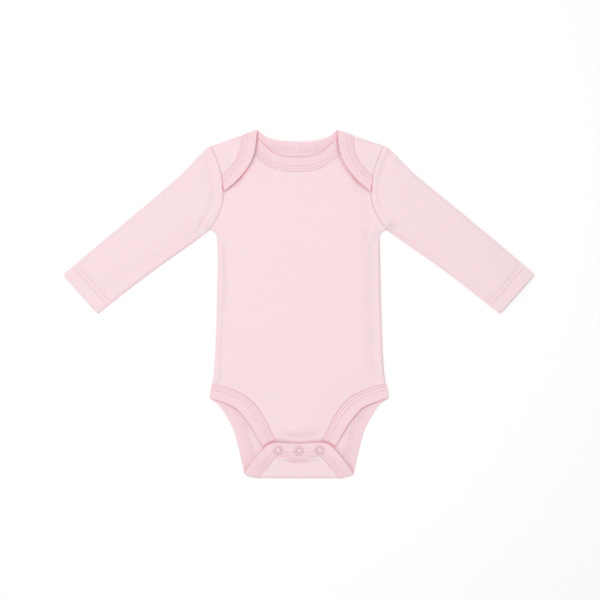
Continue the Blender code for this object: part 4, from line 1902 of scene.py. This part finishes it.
    def sew(self, thread: Stitching) -> None:
        """Sews the hem's rows on both faces.

        Args:
            thread: The stitching that the rows are added to.
        """
        v = np.linspace(0.03, 0.97, 60)
        for distance in self.hem_rows:
            u = 1 - distance / self.reach(v)
            for line, off, raised in ((self.top(u, v), 1.0, 0.1), (self.bottom(u, v), -1.0, 0.12)):
                line[:, 0] *= self.side
                line[:, 2] += raised
                thread.sew(line, np.tile((0.0, 0.0, off), (len(line), 1)), line[:, :2])

    def area(self) -> float:
        """Measures the cloth all round, as both layers of the laid sleeve.

        Returns:
            Its area in square metres.
        """
        along = np.linspace(0.0, 1.0, self.across)
        zero, one = np.zeros(self.across), np.ones(self.across)
        sides = (along, zero), (one, along), (along[::-1], one), (zero, along[::-1])
        x, y = np.vstack([self.plan(u, v) for u, v in sides]).T
        one_layer = abs(float(x @ np.roll(y, -1) - y @ np.roll(x, -1))) / 2
        return 2 * one_layer * MM * MM


# ---------------------------------------------------------------- snaps


@dataclass
class SnapRow:
    """Three ring snaps on the tail: enamelled rings, with the cloth puffed up inside each.

    Attributes:
        seat: The height at which they sit on the tail's binding, mm.
        steps: How many steps go round each.
        ring: The ring's section: radius and height above the seat, mm.
        puff: The same of the cloth in it, which ends on the axis.
    """

    seat: float = 6.2
    steps: int = 56
    ring: tuple[Row, ...] = (
        (5.45, -0.35), (5.52, 0.16), (5.42, 0.36), (5.15, 0.58), (4.8, 0.76), (4.4, 0.84), (4.0, 0.82),
        (3.65, 0.7), (3.4, 0.5), (3.2, 0.3), (2.95, 0.2), (2.75, 0.12), (2.7, -0.35),
    )
    puff: tuple[Row, ...] = (
        (2.75, -0.3), (2.5, 0.1), (2.2, 0.46), (1.7, 0.62), (1.1, 0.7), (0.5, 0.73), (0.0, 0.74),
    )

    def turned(self, profile: Sequence[Row], middle: Row, closed: bool) -> tuple[Array, list[list[int]]]:
        """Turns a profile of radius and height about an upright axis.

        Args:
            profile: Its points, radius then height.
            middle: Where the axis stands.
            closed: Whether the profile closes on itself, or ends on the axis.

        Returns:
            The points and the faces.
        """
        angles = np.arange(self.steps) * math.tau / self.steps
        rows = list(profile) if closed else list(profile)[:-1]
        points = [
            (middle[0] + r * math.cos(a), middle[1] + r * math.sin(a), self.seat + z)
            for a in angles for r, z in rows
        ]
        count, faces = len(rows), []
        for n in range(self.steps):
            here, there = n * count, (n + 1) % self.steps * count
            for k in range(count if closed else count - 1):
                after = (k + 1) % count
                faces.append([here + k, there + k, there + after, here + after])
        if not closed:
            points.append((middle[0], middle[1], self.seat + profile[-1][1]))
            tip = len(points) - 1
            faces += [[n * count + count - 1, (n + 1) % self.steps * count + count - 1, tip]
                      for n in range(self.steps)]
        return np.array(points), faces

    def build(self, dresser: Dresser) -> list[bpy.types.Object]:
        """Makes the rings and the puffs of cloth in them.

        Args:
            dresser: What dresses the pieces.

        Returns:
            The puffs.
        """
        puffs = []
        for number, middle in SNAPS.items():
            points, faces = self.turned(self.ring, middle, True)
            dresser.piece(
                f"snap_rim_{number}", points, faces, points, ENAMEL, "snap", [f"snap_ring_{number}"]
            )
            points, faces = self.turned(self.puff, middle, False)
            puffs.append(dresser.piece(f"snap_puff_{number}", points, faces, points[:, :2], BODY_KNIT,
                                       "cotton_interlock"))
            for half in ("socket", "stud"):
                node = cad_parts[f"snap_{half}_{number}"]
                node.data.materials.clear()
                node.data.materials.append(dresser.finish(ENAMEL))
        return puffs


# ---------------------------------------------------------------- the studio


@dataclass
class Studio:
    """A white table, soft light from all round that is stronger from the neck's left, and the camera.

    Attributes:
        eye: Where the camera stands, mm: it looks straight down.
        lens: Its focal length, mm.
        table: The table's side, m.
        drop: How far its top lies under the garment, mm.
        sky: The strength of the light from all round.
        panel_size: The side of the light panel, m.
        panel_at: Where it hangs, m.
        panel_power: Its power, W.
    """

    eye: Row = (1.2, 5.2, 1700.0)
    lens: float = 85.0
    table: float = 12.0
    drop: float = 0.4
    sky: float = 0.613
    panel_size: float = 1.0
    panel_at: Row = (-0.26, 0.2, 1.75)
    panel_power: float = 15.2

    def build(self, dresser: Dresser) -> None:
        """Sets up the table, the lights and the camera.

        Args:
            dresser: What dresses the table.
        """
        scene = bpy.context.scene
        bpy.ops.mesh.primitive_plane_add(size=self.table, location=(0, 0, -self.drop * MM))
        table = bpy.context.object
        table.name = "table"
        table.data.materials.append(dresser.finish(TABLE))
        world = bpy.data.worlds.new("soft_sky")
        world.use_nodes = True
        background = world.node_tree.nodes["Background"]
        background.inputs["Color"].default_value = (1.0, 1.0, 1.0, 1.0)
        background.inputs["Strength"].default_value = self.sky
        scene.world = world
        light = bpy.data.lights.new("soft_panel", "AREA")
        light.shape = "SQUARE"
        light.size = self.panel_size
        light.energy = self.panel_power
        panel = bpy.data.objects.new("soft_panel", light)
        panel.location = self.panel_at
        panel.rotation_euler = (-Vector(self.panel_at)).to_track_quat("-Z", "Y").to_euler()
        panel.visible_camera = False
        scene.collection.objects.link(panel)
        data = bpy.data.cameras.new("camera")
        data.lens = self.lens
        camera = bpy.data.objects.new("camera", data)
        camera.location = Vector(self.eye) * MM
        scene.collection.objects.link(camera)
        scene.camera = camera
        scene.view_settings.view_transform = "Standard"


def turned_round(lift: tuple[Row, ...]) -> tuple[Row, ...]:
    """The lift of a strip that runs the other way."""
    return tuple((1 - share, height) for share, height in reversed(lift))


def both_ways(lift: tuple[Row, ...]) -> tuple[Row, ...]:
    """The lift of a strip that is the same from both its ends."""
    return lift + turned_round(lift)


# How far the free edge of each binding stands off what it lies on: the share of its length, and mm.
LEG_LIFT_ROWS = ((0.0, 0.1), (0.12, 0.9), (0.4, 1.9), (0.62, 1.7), (0.76, 0.3), (1.0, 0.0))
LAP_LIFT_ROWS = ((0.0, 0.4), (0.08, 1.5), (0.16, 2.6), (0.215, 2.6), (0.238, 1.0), (0.249, 0.0))
NECK_LIFT_ROWS = ((0.0, 0.0), (0.12, 0.0), (0.3, 0.8), (0.5, 1.0))
FLANK_LIFT_ROWS = ((0.322, 0.0), (0.338, 1.6), (0.365, 3.4), (0.39, 2.4), (0.405, 0.7), (0.416, 0.0))

# The rows of stitches that a binding shows on its inside, mm from its free edge.
INSIDE_ROWS = (10.4, 14.1)


def bindings() -> dict[str, Binding]:
    """Lists the five bindings in the order in which they are made.

    Returns:
        Each binding, by the frame's node that it replaces.
    """
    return {
        "front_neck_band": Binding(
            "front_neck_binding", whole_rows(front_neck_rows()), lay_front, Facing.UP,
            both_ways(NECK_LIFT_ROWS), thick=1.5,
        ),
        "back_neck_band": Binding(
            "back_neck_binding", whole_rows(neck_rows()), lay_back, Facing.DOWN,
            both_ways(LAP_LIFT_ROWS), inside_rows=INSIDE_ROWS, inside_to=40.0,
        ),
        "leg_band_back": Binding(
            "back_leg_binding", whole_rows(back_leg_rows()), lay_back, Facing.DOWN,
            both_ways(FLANK_LIFT_ROWS), inside_rows=INSIDE_ROWS, inside_from=96.0,
            presses=tuple(SNAPS.values()),
        ),
        "leg_band_front_left": Binding(
            "front_leg_binding_left", smooth(FRONT_LEG), lay_front, Facing.UP, LEG_LIFT_ROWS
        ),
        "leg_band_front_right": Binding(
            "front_leg_binding_right", mirrored(smooth(FRONT_LEG)), lay_front, Facing.UP,
            turned_round(LEG_LIFT_ROWS),
        ),
    }


def sleeves() -> tuple[Sleeve, ...]:
    """Lists both sleeves, each with its own creases.

    Returns:
        The wearer's left sleeve and then the right one.
    """
    return (
        Sleeve("sleeve_upper_left", "sleeve_left", 1, (
            Crease(((104, 92), (111, 90.5), (121, 92)), -3.4, 2.2, 0.25),
            Crease(((103, 97), (112, 96), (124, 100)), 1.2, 2.0, 0.3),
            Crease(((109, 98), (120, 102), (131, 110)), 0.4, 4.0, 0.4),
            Crease(((206, 88), (219, 74), (232, 66)), 0.35, 4.0, 0.5),
            Crease(((204, 74), (214, 64), (222, 52)), -0.35, 3.4, 0.5),
            Crease(((222, 90), (232, 78), (242, 72)), -0.25, 3.6, 0.4),
            Crease(((130, 150), (150, 122), (176, 104)), -0.5, 8.0, 0.4),
            Crease(((118, 150), (124, 130), (134, 112)), 0.25, 7.0, 0.5),
            Crease(((160, 106), (186, 84), (204, 66)), 0.2, 7.0, 0.5),
        )),
        Sleeve("sleeve_upper_right", "sleeve_right", -1, (
            Crease(((104, 92), (112, 90), (122, 90)), -2.6, 2.2, 0.25),
            Crease(((103, 97), (112, 95.5), (124, 97)), 0.9, 2.0, 0.3),
            Crease(((112, 100), (124, 103), (136, 104)), 0.3, 4.5, 0.4),
            Crease(((120, 152), (142, 128), (170, 108)), -0.45, 8.5, 0.4),
            Crease(((150, 118), (178, 92), (206, 76)), 0.2, 7.0, 0.6),
            Crease(((190, 92), (214, 70), (232, 60)), -0.16, 6.0, 0.5),
            Crease(((112, 140), (118, 122), (130, 108)), 0.25, 7.0, 0.5),
        )),
    )


def main() -> None:
    """Builds each piece in order, and reports it."""
    logging.basicConfig(level=logging.INFO, format="%(name)s: %(message)s")
    dresser = Dresser()
    Studio().build(dresser)
    front = FrontPanel().build(dresser)
    back = BackPanel().build(dresser)
    snaps = SnapRow().build(dresser)
    for node, binding in bindings().items():
        band = binding.build(dresser, node)
        thread = Stitching()
        binding.sew(thread)
        stitches = thread.piece(binding.name + "_stitches", dresser, "cotton_binding")
        extra = snaps if node == "leg_band_back" else []
        long = binding.area() / (binding.width * MM)
        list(extra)
    for sleeve in sleeves():
        obj = sleeve.build(dresser)
        thread = Stitching()
        sleeve.sew(thread)
        stitches = thread.piece(sleeve.name + "_stitches", dresser, "cotton_interlock")
        sleeve.area()


if __name__ == "__main__":
    main()
